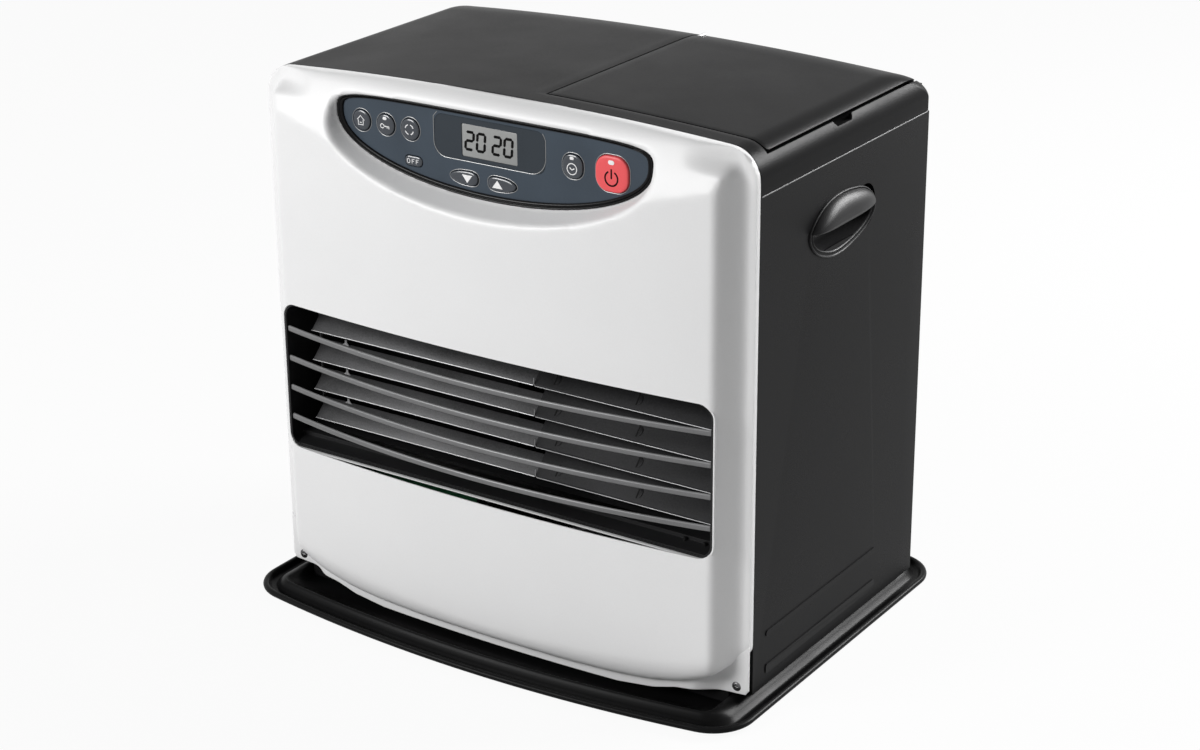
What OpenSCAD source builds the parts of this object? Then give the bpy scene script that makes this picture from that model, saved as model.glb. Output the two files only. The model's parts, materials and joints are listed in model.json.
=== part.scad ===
// Paraffin heater: a cartridge tank, a blown burner, a front outlet and a drip tray.
// Millimetres. X runs to the right, Y to the back and Z up from the floor.
// The origin is on the floor under the tray's middle. Inside at_seam() Y is
// measured from the seam between the front panel and the side panels.

/* [Tray] */
// Width of the floor tray
tray_w = 484; // [480:1:492]
// Depth of the floor tray at its middle
tray_d = 378; // [374:1:388]
// Height of the tray's inner crest
tray_crest = 14; // [12:0.5:15]
// Height of the tray's outer bead
tray_bead = 9; // [8:0.5:10]
// Radius of the tray's corners
tray_corner_r = 38; // [37:1:44]
// Radius of the tray's bowed front edge
tray_front_r = 1250; // [1000:10:1600]
// Sheet of the tray
tray_t = 1.2; // [1:0.1:1.3]
// From the tray's front edge to the casing's front seam
tray_front_room = 73; // [71:1:78]
// Radius of a rubber foot
foot_r = 9; // [7:0.5:12]
// Height of a rubber foot
foot_h = 3; // [2:0.5:4]

/* [Casing] */
// Width across the side panels
casing_w = 460; // [458:1:464]
// Depth from the front seam to the outside of the rear panel
casing_d = 267; // [265:1:270]
// Drop from the crown to the side panels' upper edge
cover_drop = 43; // [41:1:45]
// Height of the side panels' lower edge
side_foot = 17; // [16.5:0.5:18]
// Overall height at the crown of the top
total_h = 467; // [466:1:470]
// Fall of the crown from the middle to the corners
crown_drop = 6.5; // [5:0.5:8]
// Radius of the top's side corners
corner_r = 25; // [22:1:28]
// Radius of the top's rear edge
rear_edge_r = 20; // [16:1:24]
// Steel sheet of the casing
sheet = 1.2; // [1:0.1:1.4]
// Wall of the plastic mouldings
wall = 2.4; // [2:0.1:2.6]
// Width of the folded flanges
flange_w = 15; // [12:1:18]
// Room between the tray's crest and the base pan
pan_room = 3; // [2:0.5:4]

/* [Front panel] */
// Depth of the face in front of the seam at the outlet's ends
face_depth = 26; // [24:0.5:28]
// Bow of the face across the outlet
face_bow = 11; // [8:0.5:12]
// Radius of the rim beside the face
rim_r = 14; // [12:0.5:16]
// Drop from the crown to where the face starts to lean back
lean_drop = 102; // [99:1:112]
// Radius of the lean
lean_r = 184; // [176:1:200]
// Radius of the panel's upper edge
brow_r = 20; // [16:1:24]
// Height of the lower arc at the middle
belly_z = 18; // [17.5:0.5:22]
// Rise of the lower arc at the sides
belly_rise = 28; // [24:1:34]
// Inner end of the corner tabs from the middle
tab_in = 150; // [140:1:170]
// Height of the corner screws
tab_screw_z = 23; // [22:0.5:26]
// Inset of the corner screws from the side
tab_screw_in = 12; // [11:0.5:15]

/* [Outlet] */
// Width of the outlet
outlet_w = 414; // [410:1:416]
// Height of the outlet's lower edge
outlet_z = 137; // [134:1:140]
// Height of the outlet
outlet_h = 128; // [124:1:132]
// Corner radius of the outlet
outlet_r = 12; // [10:1:16]
// Number of guard bars
bar_count = 4;
// Spacing of the guard bars
bar_pitch = 26.2; // [24:0.2:27]
// Height of the lowest guard bar
bar_z = 163; // [160:1:166]
// Bow of a guard bar
bar_bow = 22; // [18:1:25]
// Height of a guard bar
bar_h = 5; // [4:0.5:6]
// Thickness of a guard bar
bar_t = 2.6; // [2:0.2:3.2]
// Depth of a louvre vane
vane_d = 20; // [16:1:22]
// Drop of a vane's lip under its bar
vane_drop = 4; // [3:0.5:5]
// Where the closed part of the outlet starts, right of the middle
blank_x = 32; // [30:1:34]
// Sheet of the vanes and the inner ducts
thin = 1; // [0.8:0.1:1.2]

/* [Controls] */
// Half width of the control lens
lens_a = 148; // [144:1:150]
// Drop of the lens below its widest line
lens_low = 50; // [48:1:52]
// Rise of the lens above its widest line
lens_up = 18; // [16:0.5:19]
// Drop from the crown to the lens's widest line
lens_drop = 32; // [30:0.5:33]
// Depth of the lens in front of the seam
lens_depth = 14; // [13:0.5:15]
// Width of the lens's black bezel
bezel_w = 5; // [4:0.5:6]
// Width of the scooped border round the lens
scoop_w = 15; // [12:1:17]
// Thickness of the overlay
overlay_t = 2.5; // [2:0.1:3]
// Travel of a key
key_travel = 1; // [0.6:0.1:1.2]
// Stand of a key above the overlay
key_stand = 2; // [1.5:0.1:2.4]
// Room round a key
key_room = 0.4; // [0.35:0.05:0.6]
// Width of the liquid crystal display
lcd_w = 52; // [46:1:56]
// Height of the liquid crystal display
lcd_h = 26; // [22:1:28]

/* [Lid] */
// Left edge of the tank lid, right of the middle
lid_x = 30; // [28:1:32]
// Right edge of the tank lid
lid_right = 220; // [218:0.5:221]
// Front edge of the lid behind the seam
lid_front = 20; // [18:1:22]
// Drop from the crown to the shelf under the lid
shelf_drop = 21; // [19:0.5:23]
// Gap between the lid and the top cover
lid_gap = 1.2; // [1:0.1:1.6]
// Radius of the lid's hinge barrel
barrel_r = 2.45; // [2.3:0.05:2.8]
// Radius of a hinge pin
pin_r = 1.2; // [1:0.05:1.3]
// Radial running clearance of pins and shafts
running = 0.05; // [0.02:0.01:0.08]
// Width of the finger notch beside the lid
notch_w = 36; // [30:1:38]
// Middle of the finger notch behind the seam
notch_y = 127; // [115:1:140]

/* [Handles] */
// Length of a side handle
handle_l = 106; // [100:1:112]
// Height of a side handle
handle_h = 44; // [42:1:48]
// Drop from the crown to a handle's middle
handle_drop = 94; // [89:1:97]
// Middle of a handle behind the seam
handle_y = 129; // [120:1:138]
// Reach of the handle's hood beyond the side
hood_reach = 10.5; // [9:0.5:11]
// Depth of the finger cup behind the side
cup_d = 25; // [22:1:27]

/* [Fuel] */
// Room between the cartridge tank and its well
well_gap = 6; // [5:0.5:9]
// Room above the cartridge tank's body for its handle
tank_room = 52; // [48:1:64]
// Corner radius of the cartridge tank
tank_r = 18; // [12:1:24]
// Sheet of the cartridge tank
tank_t = 1; // [0.8:0.1:1.2]
// Height of the fixed tank
sump_h = 60; // [54:1:62]
// Radius of the tank's cap
cap_r = 21; // [18:0.5:24]
// Radius of the fuel line
fuel_line_r = 2.5; // [2:0.1:3]

/* [Burner] */
// Middle of the burner left of the middle
burner_x = 90; // [86:1:94]
// Middle of the burner behind the seam
burner_y = 120; // [116:1:124]
// Radius of the burner pot
pot_r = 40; // [36:1:42]
// Height of the burner pot's floor
pot_z = 60; // [58:1:64]
// Height of the burner pot
pot_h = 48; // [44:1:50]
// Width of the combustion chamber
chamber_w = 110; // [100:1:112]
// Room between the combustion chamber and the air duct's top
chamber_room = 17; // [14:1:27]
// Height of the air duct's floor
duct_z = 128; // [126:1:130]
// Room between the air duct's top and the handles
duct_room = 15; // [13:1:17]

/* [Fans] */
// Radius of the convection fan
fan_r = 75; // [70:1:78]
// Height of the fan's axis
fan_z = 225; // [222:1:230]
// Depth of the fan's blades
blade_d = 18; // [14:1:20]
// Number of fan blades
blade_count = 5; // [4:1:7]
// Radius of the fan's hub
hub_r = 20; // [18:1:24]
// Radius of a motor shaft
shaft_r = 3; // [2.5:0.1:3.4]
// Radius of the fan motor
motor_r = 30; // [26:1:34]
// Width of the rear fan guard
guard_w = 190; // [184:2:196]
// Pitch of the fan guard's bars
guard_pitch = 12; // [11:0.5:14]
// Radius of the combustion blower's impeller
impeller_r = 28; // [26:1:30]

/* [Hidden] */
$fn = 48;

// Places on the casing
seam_y = -tray_d / 2 + tray_front_room;
half_w = casing_w / 2;
side_top = total_h - cover_drop;
lean_z = total_h - lean_drop;
lens_z = total_h - lens_drop;
shelf_z = total_h - shelf_drop;
handle_z = total_h - handle_drop;
inner_w = half_w - sheet;
rear_in = casing_d - sheet;
pan_z = tray_t + foot_h;
pan_floor = pan_z + sheet;
pan_back = casing_d - 9;
rear_screw_in = 7;
rear_screw_z = [side_foot + 43, side_top - 30];
vent_count = 6;
vent_pitch = 12;
vent_x = 70;
vent_w = 110;
vent_z = side_top - 124;
cord_x = 150;
cord_z = side_foot + 43;
cord_r = 8;
eps = 0.5;

// The crowned outline of the top
crown_x = half_w - corner_r;
crown_r = (crown_x * crown_x + crown_drop * crown_drop) / (2 * crown_drop);
crown_c = total_h - crown_r;
crown_a = asin(crown_x / (crown_r - corner_r));
corner_z = crown_c + (crown_r - corner_r) * cos(crown_a);

// The tray's outline, and its bands from the edge inwards
bead_w = 6;
lip_low = 4;
groove_z = 3.2;
slope_d = 13;
crest_d = 28;
slope_steps = 4;
tray_hx = tray_w / 2 - tray_corner_r;
tray_arc_a = asin(tray_hx / (tray_front_r - tray_corner_r));
tray_arc_y = -tray_d / 2 + tray_front_r;
tray_front_c = tray_arc_y - (tray_front_r - tray_corner_r) * cos(tray_arc_a);
tray_back_c = tray_d / 2 - tray_corner_r;
pan_x = tray_w / 2 - crest_d - tray_t - pan_room;

// The front panel's curves
face_x = outlet_w / 2;
face_r = (face_x * face_x + face_bow * face_bow) / (2 * face_bow);
face_a = asin(face_x / face_r);
face_front = face_depth + face_bow;
rim_y = 7;
lean_a = asin((total_h - brow_r - lean_z) / (lean_r - brow_r));
lean_y = -face_front - 1 + lean_r;
brow_y = lean_y - (lean_r - brow_r) * cos(lean_a);
brow_z = total_h - brow_r;
belly_r = (half_w * half_w + belly_rise * belly_rise) / (2 * belly_rise);
tab_y = 3;

// The outlet's parts
frame_fit = 0.2;
frame_x = face_x - frame_fit;
lip_d = 12;
frame_t = 1.6;
bar_x = frame_x - frame_t;
bar_r = (bar_x * bar_x + bar_bow * bar_bow) / (2 * bar_bow);
bar_a = asin(bar_x / bar_r);
bar_end = face_depth - 2;
vane_front = 8;
frame_back = 20;
blank_y = 9;

// The controls' layers, in front of the seam
overlay_back = lens_depth - overlay_t;
board_t = 1.6;
board_front = 4;
ctrl_in = 15;
ctrl_low = 22;
ctrl_h = 34;
ctrl_tail = 90;
ctrl_tail_h = 22;
switch_h = 4;
key_flange = 0.9;
key_back = board_front + switch_h + key_travel + 0.3;
lcd_x = -1.5;
lcd_z = lens_z - 5;
glass_w = lcd_w + 52;
glass_h = lcd_h + 8;

// Each key: across, up, width, height, corner radius
small_z = lens_z - 4.5;
arrow_z = lens_z - 35;
large_z = lens_z - 9;
key_eco = [-124.5, small_z, 17, 17, 8.4];
key_lock = [-100.5, small_z, 17, 17, 8.4];
key_clean = [-76.5, small_z, 17, 17.5, 8.4];
key_hours = [-74.5, lens_z - 30, 17, 8.5, 4];
key_down = [-25.5, arrow_z, 26, 13, 6.4];
key_up = [10.5, arrow_z, 26, 13, 6.4];
key_timer = [76, large_z, 18, 19, 8];
key_power = [111.5, large_z, 29, 28, 11];
bezel_stand = 2.5;
bezel_d = bezel_stand + overlay_t;
boss_r = 2.5;
boss_x = 50;
boss_z = lens_z - 40;
boss_room = 5;
KEYS = [key_eco, key_lock, key_clean, key_hours, key_down, key_up, key_timer, key_power];

// The lid and its hinge
hinge_x = lid_x + barrel_r;
hinge_z = crown_at(hinge_x) - barrel_r - 0.1;
cover_left = lid_x - 0.7;
rail_x = lid_right + lid_gap + 0.2;
knuckle_y = 236;
knuckle_l = 4;
pin_l = 17;

// The fuel side
pump_x = 60;
pump_y = 26;
pump_r = 13;
pump_h = 46;
pump_room = 5;
bay_l = lid_x + 14;
bay_r = lid_right - 24;
bay_front = pump_y + pump_r + pump_room;
bay_back = pan_back - 12;
tank_x = (bay_l + bay_r) / 2;
tank_y = (bay_front + bay_back) / 2;
well_w = bay_r - bay_l;
well_d = bay_back - bay_front;
tank_w = well_w - 2 * well_gap;
tank_d = well_d - 2 * well_gap;
sump_top = pan_floor + sump_h;
tank_z = sump_top + 20;
tank_top = shelf_z - wall - tank_room;
tank_h = tank_top - tank_z;
sump_w = well_w + 8;
sump_y = 8;
line_z = sump_top + 16;

// The burner side
pot_top = pot_z + pot_h;
duct_h = handle_z - handle_h / 2 - duct_room - duct_z;
chamber_h = duct_h - thin - chamber_room;
head_h = 26;
duct_l = -206;
duct_r = blank_x - thin;
duct_front = frame_back;
duct_back = 224;
head_r = pot_r - 6;

// The electric parts
rack_x = -200;
rack_y = 18;
rack_w = 160;
rack_h = 116;
rack_foot = 16;
rack_gap = 4;
board_in = 2;
board_up = 34;
board_w = 156;
board_h = 80;
board_deep = 12;
stud_in = 8;
stud_r = 3;
coil_x = -192;
coil_y = 60;
coil_w = 52;
coil_d = 44;
coil_h = 38;
tilt_x = -30;
tilt_y = 200;
tilt_w = 38;
tilt_d = 26;
tilt_h = 26;

// The fans
blade_y = casing_d - 35;
motor_back = blade_y - 8;
motor_d = 30;
guard_y = casing_d + 6;
filter_t = 2.4;
filter_rim = 7.5;
filter_cells = 7;
filter_bar = 4;
filter_pitch = (guard_w - 2 * filter_rim) / filter_cells;
bracket_x = guard_w / 2 + 1;
bracket_h = 12;
bracket_t = 1.5;
blower_x = -burner_x - 17;
blower_y = 205;
blower_z = 72;
blower_d = 34;
impeller_d = 24;
blower_r = impeller_r + 10;

function arc(c, r, a0, a1, n) =
  [for (i = [0:n - 1]) let (a = a0 + (a1 - a0) * i / n) c + r * [cos(a), sin(a)]];
function polar(c, r, a) = [c + r * [cos(a), sin(a)]];
function flipped(pts) = [for (i = [len(pts) - 1:-1:0]) [-pts[i][0], pts[i][1]]];
function crown_at(x) = crown_c + sqrt(crown_r * crown_r - x * x);
function power_of(v, e) = sign(v) * pow(abs(v), e);

// A lens with an elliptic lower edge and a flat upper one
function lens_points(grow) = [for (i = [0:63]) let (t = 360 * i / 64)
  t > 180 ? [(lens_a + grow) * cos(t), lens_z + (lens_low + grow) * sin(t)]
          : [(lens_a + grow) * power_of(cos(t), 0.4),
             lens_z + (lens_up + grow / 2) * power_of(sin(t), 0.4)]];

// The casing's front outline above a level
function casing_points(inset, low) = concat(
  [[half_w - inset, low]],
  arc([crown_x, corner_z], corner_r - inset, 0, 90 - crown_a, 8),
  arc([0, crown_c], crown_r - inset, 90 - crown_a, 90 + crown_a, 24),
  arc([-crown_x, corner_z], corner_r - inset, 90 + crown_a, 180, 8),
  [[-half_w + inset, corner_z], [-half_w + inset, low]]);

// The front panel seen from above, its back at the given Y
function rim_points(inset, back) = concat(
  [[half_w - inset, back]],
  arc([half_w - rim_r, -rim_y], rim_r - inset, 0, -90, 8),
  [[half_w - rim_r, -rim_y - rim_r + inset],
   [face_x + 4, -face_depth + 3.2 + inset]]);
function face_points(inset, back) = concat(
  rim_points(inset, back),
  arc([0, face_r - face_front], face_r - inset, -90 + face_a, -90 - face_a, 24),
  polar([0, face_r - face_front], face_r - inset, -90 - face_a),
  flipped(rim_points(inset, back)));

// The front panel seen from the side
function lean_points(inset, back) = let (end_a = 90 + asin(brow_y / (brow_r - inset))) concat(
  [[back, 0], [-face_front - 1 + inset, 0]],
  arc([lean_y, lean_z], lean_r - inset, 180, 180 - lean_a, 10),
  arc([brow_y, brow_z], brow_r - inset, 180 - lean_a, end_a, 8),
  polar([brow_y, brow_z], brow_r - inset, end_a),
  back > 0 ? [[back, total_h - inset]] : []);

// The top cover seen from the side, with its rounded rear edge
function rear_points(inset) = concat(
  [[-eps, 0], [casing_d - inset, 0]],
  arc([casing_d - rear_edge_r, total_h - rear_edge_r], rear_edge_r - inset, 0, 90, 10),
  [[casing_d - rear_edge_r, total_h - inset], [-eps, total_h - inset]]);

// The tray's outline, inside its edge by the given distance
function tray_points(d) = concat(
  arc([tray_hx, tray_back_c], tray_corner_r - d, 0, 90, 6),
  polar([tray_hx, tray_back_c], tray_corner_r - d, 90),
  arc([-tray_hx, tray_back_c], tray_corner_r - d, 90, 180, 6),
  polar([-tray_hx, tray_back_c], tray_corner_r - d, 180),
  arc([-tray_hx, tray_front_c], tray_corner_r - d, 180, 270 - tray_arc_a, 6),
  arc([0, tray_arc_y], tray_front_r - d, 270 - tray_arc_a, 270 + tray_arc_a, 12),
  arc([tray_hx, tray_front_c], tray_corner_r - d, 270 + tray_arc_a, 360, 6),
  polar([tray_hx, tray_front_c], tray_corner_r - d, 0));

module at_seam() { translate([0, seam_y, 0]) children(); }
module block(low, high) { translate(low) cube(high - low); }
module rounded(w, h, r) {
  square([w - 2 * r, h], center = true);
  square([w, h - 2 * r], center = true);
  for (x = [-1, 1], y = [-1, 1]) translate([x * (w / 2 - r), y * (h / 2 - r)]) circle(r);
}
module along_x(x, len) { translate([x, 0, 0]) rotate([90, 0, 90]) linear_extrude(len) children(); }
module along_y(y, len) { translate([0, y + len, 0]) rotate([90, 0, 0]) linear_extrude(len) children(); }
module rod_x(c, r, len) { translate(c) rotate([0, 90, 0]) cylinder(r = r, h = len); }
module rod_y(c, r, len) { translate(c) rotate([-90, 0, 0]) cylinder(r = r, h = len); }
module rod_z(c, r, len) { translate(c) cylinder(r = r, h = len); }

// Tray and base

// A level band of the tray between two distances from its edge and two heights
module tray_band(d0, d1, z0, z1) {
  translate([0, 0, z0]) linear_extrude(z1 - z0) difference() {
    polygon(tray_points(d0));
    if (d1 < tray_corner_r - 1) polygon(tray_points(d1));
  }
}
module floor_tray() {
  color([0.05, 0.05, 0.055]) {
    tray_band(0, tray_t, lip_low, tray_bead - 1);
    tray_band(0.8, bead_w - 0.4, tray_bead - tray_t, tray_bead);
    tray_band(bead_w - tray_t, bead_w, groove_z - tray_t, tray_bead - 1);
    tray_band(bead_w - tray_t, slope_d, groove_z - tray_t, groove_z);
    for (i = [0:slope_steps - 1]) {
      low = groove_z + (tray_crest - groove_z) * i / slope_steps;
      high = groove_z + (tray_crest - groove_z) * (i + 1) / slope_steps;
      start = slope_d + (crest_d - slope_d) * i / slope_steps;
      tray_band(start - tray_t, start + tray_t / 4, low - tray_t, high);
      tray_band(start - tray_t / 2, start + (crest_d - slope_d) / slope_steps + tray_t / 4,
        high - tray_t, high);
    }
    tray_band(crest_d, crest_d + tray_t, 0, tray_crest);
    tray_band(crest_d + tray_t / 2, tray_corner_r, 0, tray_t);
  }
}
module rubber_feet() {
  color([0.12, 0.12, 0.12]) at_seam()
    for (x = [-1, 1], y = [30, pan_back - 30])
      rod_z([x * (pan_x - 30), y, tray_t], foot_r, foot_h);
}
module pan_outline(inset) {
  translate([-pan_x + inset, sheet - tab_y + inset])
    square([2 * (pan_x - inset), pan_back + tab_y - sheet - 2 * inset]);
}
module base_pan() {
  color([0.06, 0.06, 0.065]) at_seam() {
    difference() {
      translate([0, 0, pan_z]) linear_extrude(side_foot - pan_z) pan_outline(0);
      translate([0, 0, pan_floor]) linear_extrude(side_foot) pan_outline(sheet);
    }
    difference() {
      block([-inner_w, 0, side_foot - sheet], [inner_w, rear_in - sheet, side_foot]);
      translate([0, 0, side_foot - sheet - eps]) linear_extrude(sheet + 2 * eps)
        pan_outline(sheet / 2);
    }
  }
}

// Casing

module side_ribs() {
  for (z = [31, 62]) translate([half_w - sheet / 2, handle_y - 20, z])
    rotate([90, 0, 90]) linear_extrude(sheet / 2 + 0.8) rounded(180, z == 31 ? 8 : 5, 2.4);
}
module side_panel() {
  difference() {
    union() {
      block([inner_w, 0, side_foot], [half_w, casing_d, side_top]);
      block([half_w - flange_w, 0, side_foot], [half_w, sheet, side_top]);
      block([half_w - flange_w, rear_in - sheet, side_foot], [half_w, rear_in, side_top]);
      block([half_w - flange_w, 0, side_foot], [half_w, casing_d - sheet, side_foot + sheet]);
      side_ribs();
    }
    along_x(inner_w - eps, sheet + 2 * eps) translate([handle_y, handle_z])
      rounded(handle_l - 8, handle_h - 8, 16);
    rod_y([half_w - tab_screw_in, -eps, tab_screw_z], 2, 4);
    for (z = rear_screw_z) rod_y([half_w - rear_screw_in, rear_in - 4, z], 2, 8);
  }
}
module right_side_panel() { color([0.09, 0.09, 0.1]) at_seam() side_panel(); }
module left_side_panel() { color([0.09, 0.09, 0.1]) at_seam() mirror([1, 0, 0]) side_panel(); }
module rear_panel() {
  color([0.09, 0.09, 0.1]) at_seam() difference() {
    block([-inner_w, rear_in, side_foot], [inner_w, casing_d, side_top]);
    rod_y([-burner_x, rear_in - eps, fan_z], fan_r + 5, sheet + 2 * eps);
    for (x = [-1, 1], z = rear_screw_z) rod_y([x * (half_w - rear_screw_in), rear_in - 4, z], 2, 8);
    rod_y([cord_x, rear_in - eps, cord_z], cord_r, sheet + 2 * eps);
    for (i = [0:vent_count - 1]) block([vent_x, rear_in - eps, vent_z + i * vent_pitch],
      [vent_x + vent_w, casing_d + eps, vent_z + i * vent_pitch + vent_pitch / 3]);
  }
}

// Everything inside the front panel's outer face, shrunk by an inset
module front_body(inset, back) {
  intersection() {
    along_y(-face_front - 2, face_front + 2 + back) intersection() {
      polygon(casing_points(inset, 0));
      translate([0, belly_z + belly_r]) circle(belly_r - inset);
    }
    linear_extrude(total_h + 1) polygon(face_points(inset, back));
    along_x(-half_w - 1, casing_w + 2) polygon(lean_points(inset, back));
  }
}
// The scoop round the control lens
module scoop(grow) {
  hull() {
    along_y(-lens_depth - 1 - eps, eps + grow) polygon(lens_points(1 + grow));
    along_y(-face_front - 3, eps) polygon(lens_points(scoop_w + 2 + grow));
  }
}
module front_panel() {
  color([0.88, 0.88, 0.88]) at_seam() {
    difference() {
      front_body(0, 0);
      difference() {
        front_body(sheet, eps);
        scoop(sheet);
      }
      scoop(0);
      along_y(-face_front, face_front) polygon(lens_points(0.25));
      along_y(-face_front - 2, face_front + 2) translate([0, outlet_z + outlet_h / 2])
        rounded(outlet_w, outlet_h, outlet_r);
    }
    intersection() {
      front_body(0, 0);
      along_y(-face_front, face_front - face_depth + lip_d)
        translate([0, outlet_z + outlet_h / 2]) difference() {
          rounded(outlet_w + 2 * sheet, outlet_h + 2 * sheet, outlet_r + sheet);
          rounded(outlet_w, outlet_h, outlet_r);
        }
    }
    for (s = [0, 1]) mirror([s, 0, 0]) difference() {
      block([tab_in, -tab_y, side_foot + 0.5], [half_w - 1, -tab_y + sheet, 62]);
      rod_y([half_w - tab_screw_in, -tab_y - 1, tab_screw_z], 2, 4);
    }
  }
}

// Top cover and lid

module top_body(inset) {
  intersection() {
    along_y(0, casing_d) polygon(casing_points(inset, side_top - (inset > 0 ? eps : 0)));
    along_x(-half_w, casing_w) polygon(rear_points(inset));
  }
}
module top_cover() {
  color([0.07, 0.07, 0.075]) at_seam() difference() {
    union() {
      difference() {
        top_body(0);
        intersection() {
          top_body(wall);
          block([-half_w, wall, 0], [half_w, casing_d, total_h]);
        }
      }
      intersection() {
        top_body(0);
        union() {
          block([cover_left - wall, lid_front - lid_gap - wall, shelf_z - wall],
            [half_w, casing_d, shelf_z]);
          block([cover_left - wall, lid_front - lid_gap - wall, shelf_z - wall],
            [cover_left, casing_d, total_h]);
          block([rail_x, lid_front - lid_gap - wall, shelf_z - wall],
            [rail_x + wall, casing_d, total_h]);
          block([cover_left - wall, lid_front - lid_gap - wall, shelf_z - wall],
            [rail_x + wall, lid_front - lid_gap, total_h]);
        }
      }
    }
    difference() {
      block([cover_left, lid_front - lid_gap, shelf_z], [rail_x, casing_d + eps, total_h + eps]);
      translate([0, knuckle_y, 0]) block([cover_left - eps, 0, hinge_z - 4],
        [hinge_x + 2, knuckle_l, hinge_z + 2]);
    }
    translate([tank_x, tank_y, shelf_z - wall - eps]) linear_extrude(wall + 2 * eps)
      rounded(well_w - 4, well_d - 4, 10);
    rod_z([rail_x, notch_y, shelf_z + 1.5], notch_w / 2, 40);
    rod_y([hinge_x, lid_front - pin_l / 2, hinge_z], pin_r, pin_l / 2);
    rod_y([hinge_x, knuckle_y - eps, hinge_z], pin_r, knuckle_l + 2 * eps);
  }
}
module lid_body(inset) {
  intersection() {
    top_body(inset);
    block([hinge_x + (inset > 0 ? wall : 0), lid_front + inset, shelf_z + (inset > 0 ? -1 : 0.3)],
      [lid_right - inset, casing_d, total_h]);
  }
}
module tank_lid() {
  color([0.07, 0.07, 0.075]) at_seam() difference() {
    union() {
      difference() {
        lid_body(0);
        lid_body(wall);
      }
      rod_y([hinge_x, lid_front, hinge_z], barrel_r, casing_d - rear_edge_r - lid_front);
    }
    block([hinge_x - 4, lid_front - 1, shelf_z - 1], [hinge_x + wall + 1, casing_d + 1, hinge_z - 6]);
    block([lid_x - 1, knuckle_y - 0.5, hinge_z - 8],
      [hinge_x + 3, knuckle_y + knuckle_l + 0.5, total_h + 1]);
    rod_y([hinge_x, lid_front - 1, hinge_z], pin_r + running, 11);
    rod_y([hinge_x, knuckle_y - 9, hinge_z], pin_r + running, knuckle_l + 17);
  }
}
module lid_hinge_pins() {
  color([0.75, 0.75, 0.77]) at_seam() {
    rod_y([hinge_x, lid_front - pin_l / 2, hinge_z], pin_r, pin_l);
    rod_y([hinge_x, knuckle_y + knuckle_l / 2 - pin_l / 2 + 1.5, hinge_z], pin_r, pin_l - 3);
  }
}

// Handles

module side_handle() {
  difference() {
    union() {
      along_x(half_w, 2) translate([handle_y, handle_z]) rounded(handle_l, handle_h, 20);
      intersection() {
        along_x(half_w, hood_reach) translate([handle_y, handle_z])
          rounded(handle_l - 6, handle_h - 4, 18);
        translate([half_w - 40, handle_y, handle_z - 18]) rotate([90, 0, 0])
          cylinder(r = 40 + hood_reach, h = handle_l, center = true);
        block([half_w, 0, handle_z - 6], [half_w + 20, casing_d, total_h]);
      }
      along_x(half_w - cup_d, cup_d) translate([handle_y, handle_z])
        rounded(handle_l - 9, handle_h - 9, 15.5);
    }
    along_x(half_w - cup_d + wall, cup_d - wall + 3) translate([handle_y, handle_z])
      rounded(handle_l - 9 - 2 * wall, handle_h - 9 - 2 * wall, 13);
    intersection() {
      along_x(half_w, hood_reach - wall) translate([handle_y, handle_z])
        rounded(handle_l - 12 - 2 * wall, handle_h - 9 - 2 * wall, 13);
      translate([half_w - 40, handle_y, handle_z - 18]) rotate([90, 0, 0])
        cylinder(r = 40 + hood_reach - wall, h = handle_l, center = true);
    }
  }
}
module right_handle() { color([0.1, 0.1, 0.11]) at_seam() side_handle(); }
module left_handle() { color([0.1, 0.1, 0.11]) at_seam() mirror([1, 0, 0]) side_handle(); }

// Controls

module key_outline(k, grow) {
  translate([k[0], k[1]]) rounded(k[2] + 2 * grow, k[3] + 2 * grow, k[4] + grow);
}
module control_bezel() {
  color([0.03, 0.03, 0.035]) at_seam() along_y(-lens_depth - bezel_stand, bezel_d) difference() {
    polygon(lens_points(0));
    polygon(lens_points(-bezel_w));
  }
}
module control_overlay() {
  color([0.2, 0.23, 0.27]) at_seam() {
    along_y(-lens_depth, overlay_t) difference() {
      polygon(lens_points(-bezel_w));
      for (k = KEYS) key_outline(k, key_room);
      translate([lcd_x, lcd_z + 1]) rounded(glass_w, glass_h, 8);
    }
    for (x = [-1, 1]) {
      rod_y([x * boss_x, -overlay_back, boss_z], boss_r, overlay_back - board_front);
      rod_y([lcd_x + x * (glass_w / 2 + boss_room), -overlay_back, lens_z + 1], boss_r,
        overlay_back - board_front);
    }
  }
}
module display_frame() {
  color([0.04, 0.045, 0.06]) at_seam() along_y(-lens_depth, overlay_t) difference() {
    translate([lcd_x, lcd_z + 1]) rounded(glass_w, glass_h, 8);
    translate([lcd_x, lcd_z]) rounded(lcd_w, lcd_h, 1.5);
  }
}
module display_window() {
  color([0.62, 0.64, 0.62]) at_seam() {
    along_y(-lens_depth + 0.6, lens_depth - 0.6 - board_front) translate([lcd_x, lcd_z])
      rounded(lcd_w, lcd_h, 1.5);
  }
}
module key_cap(k, rgb) {
  color(rgb) at_seam() {
    along_y(-lens_depth - key_stand, lens_depth + key_stand - key_back) key_outline(k, 0);
    along_y(-overlay_back + 0.4, overlay_back - 0.4 - key_back) key_outline(k, key_flange);
  }
}
module eco_key() { key_cap(key_eco, [0.12, 0.14, 0.18]); }
module lock_key() { key_cap(key_lock, [0.12, 0.14, 0.18]); }
module clean_key() { key_cap(key_clean, [0.12, 0.14, 0.18]); }
module hours_key() { key_cap(key_hours, [0.14, 0.16, 0.2]); }
module down_key() { key_cap(key_down, [0.1, 0.12, 0.15]); }
module up_key() { key_cap(key_up, [0.1, 0.12, 0.15]); }
module timer_key() { key_cap(key_timer, [0.1, 0.12, 0.15]); }
module power_key() { key_cap(key_power, [0.85, 0.22, 0.25]); }
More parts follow.
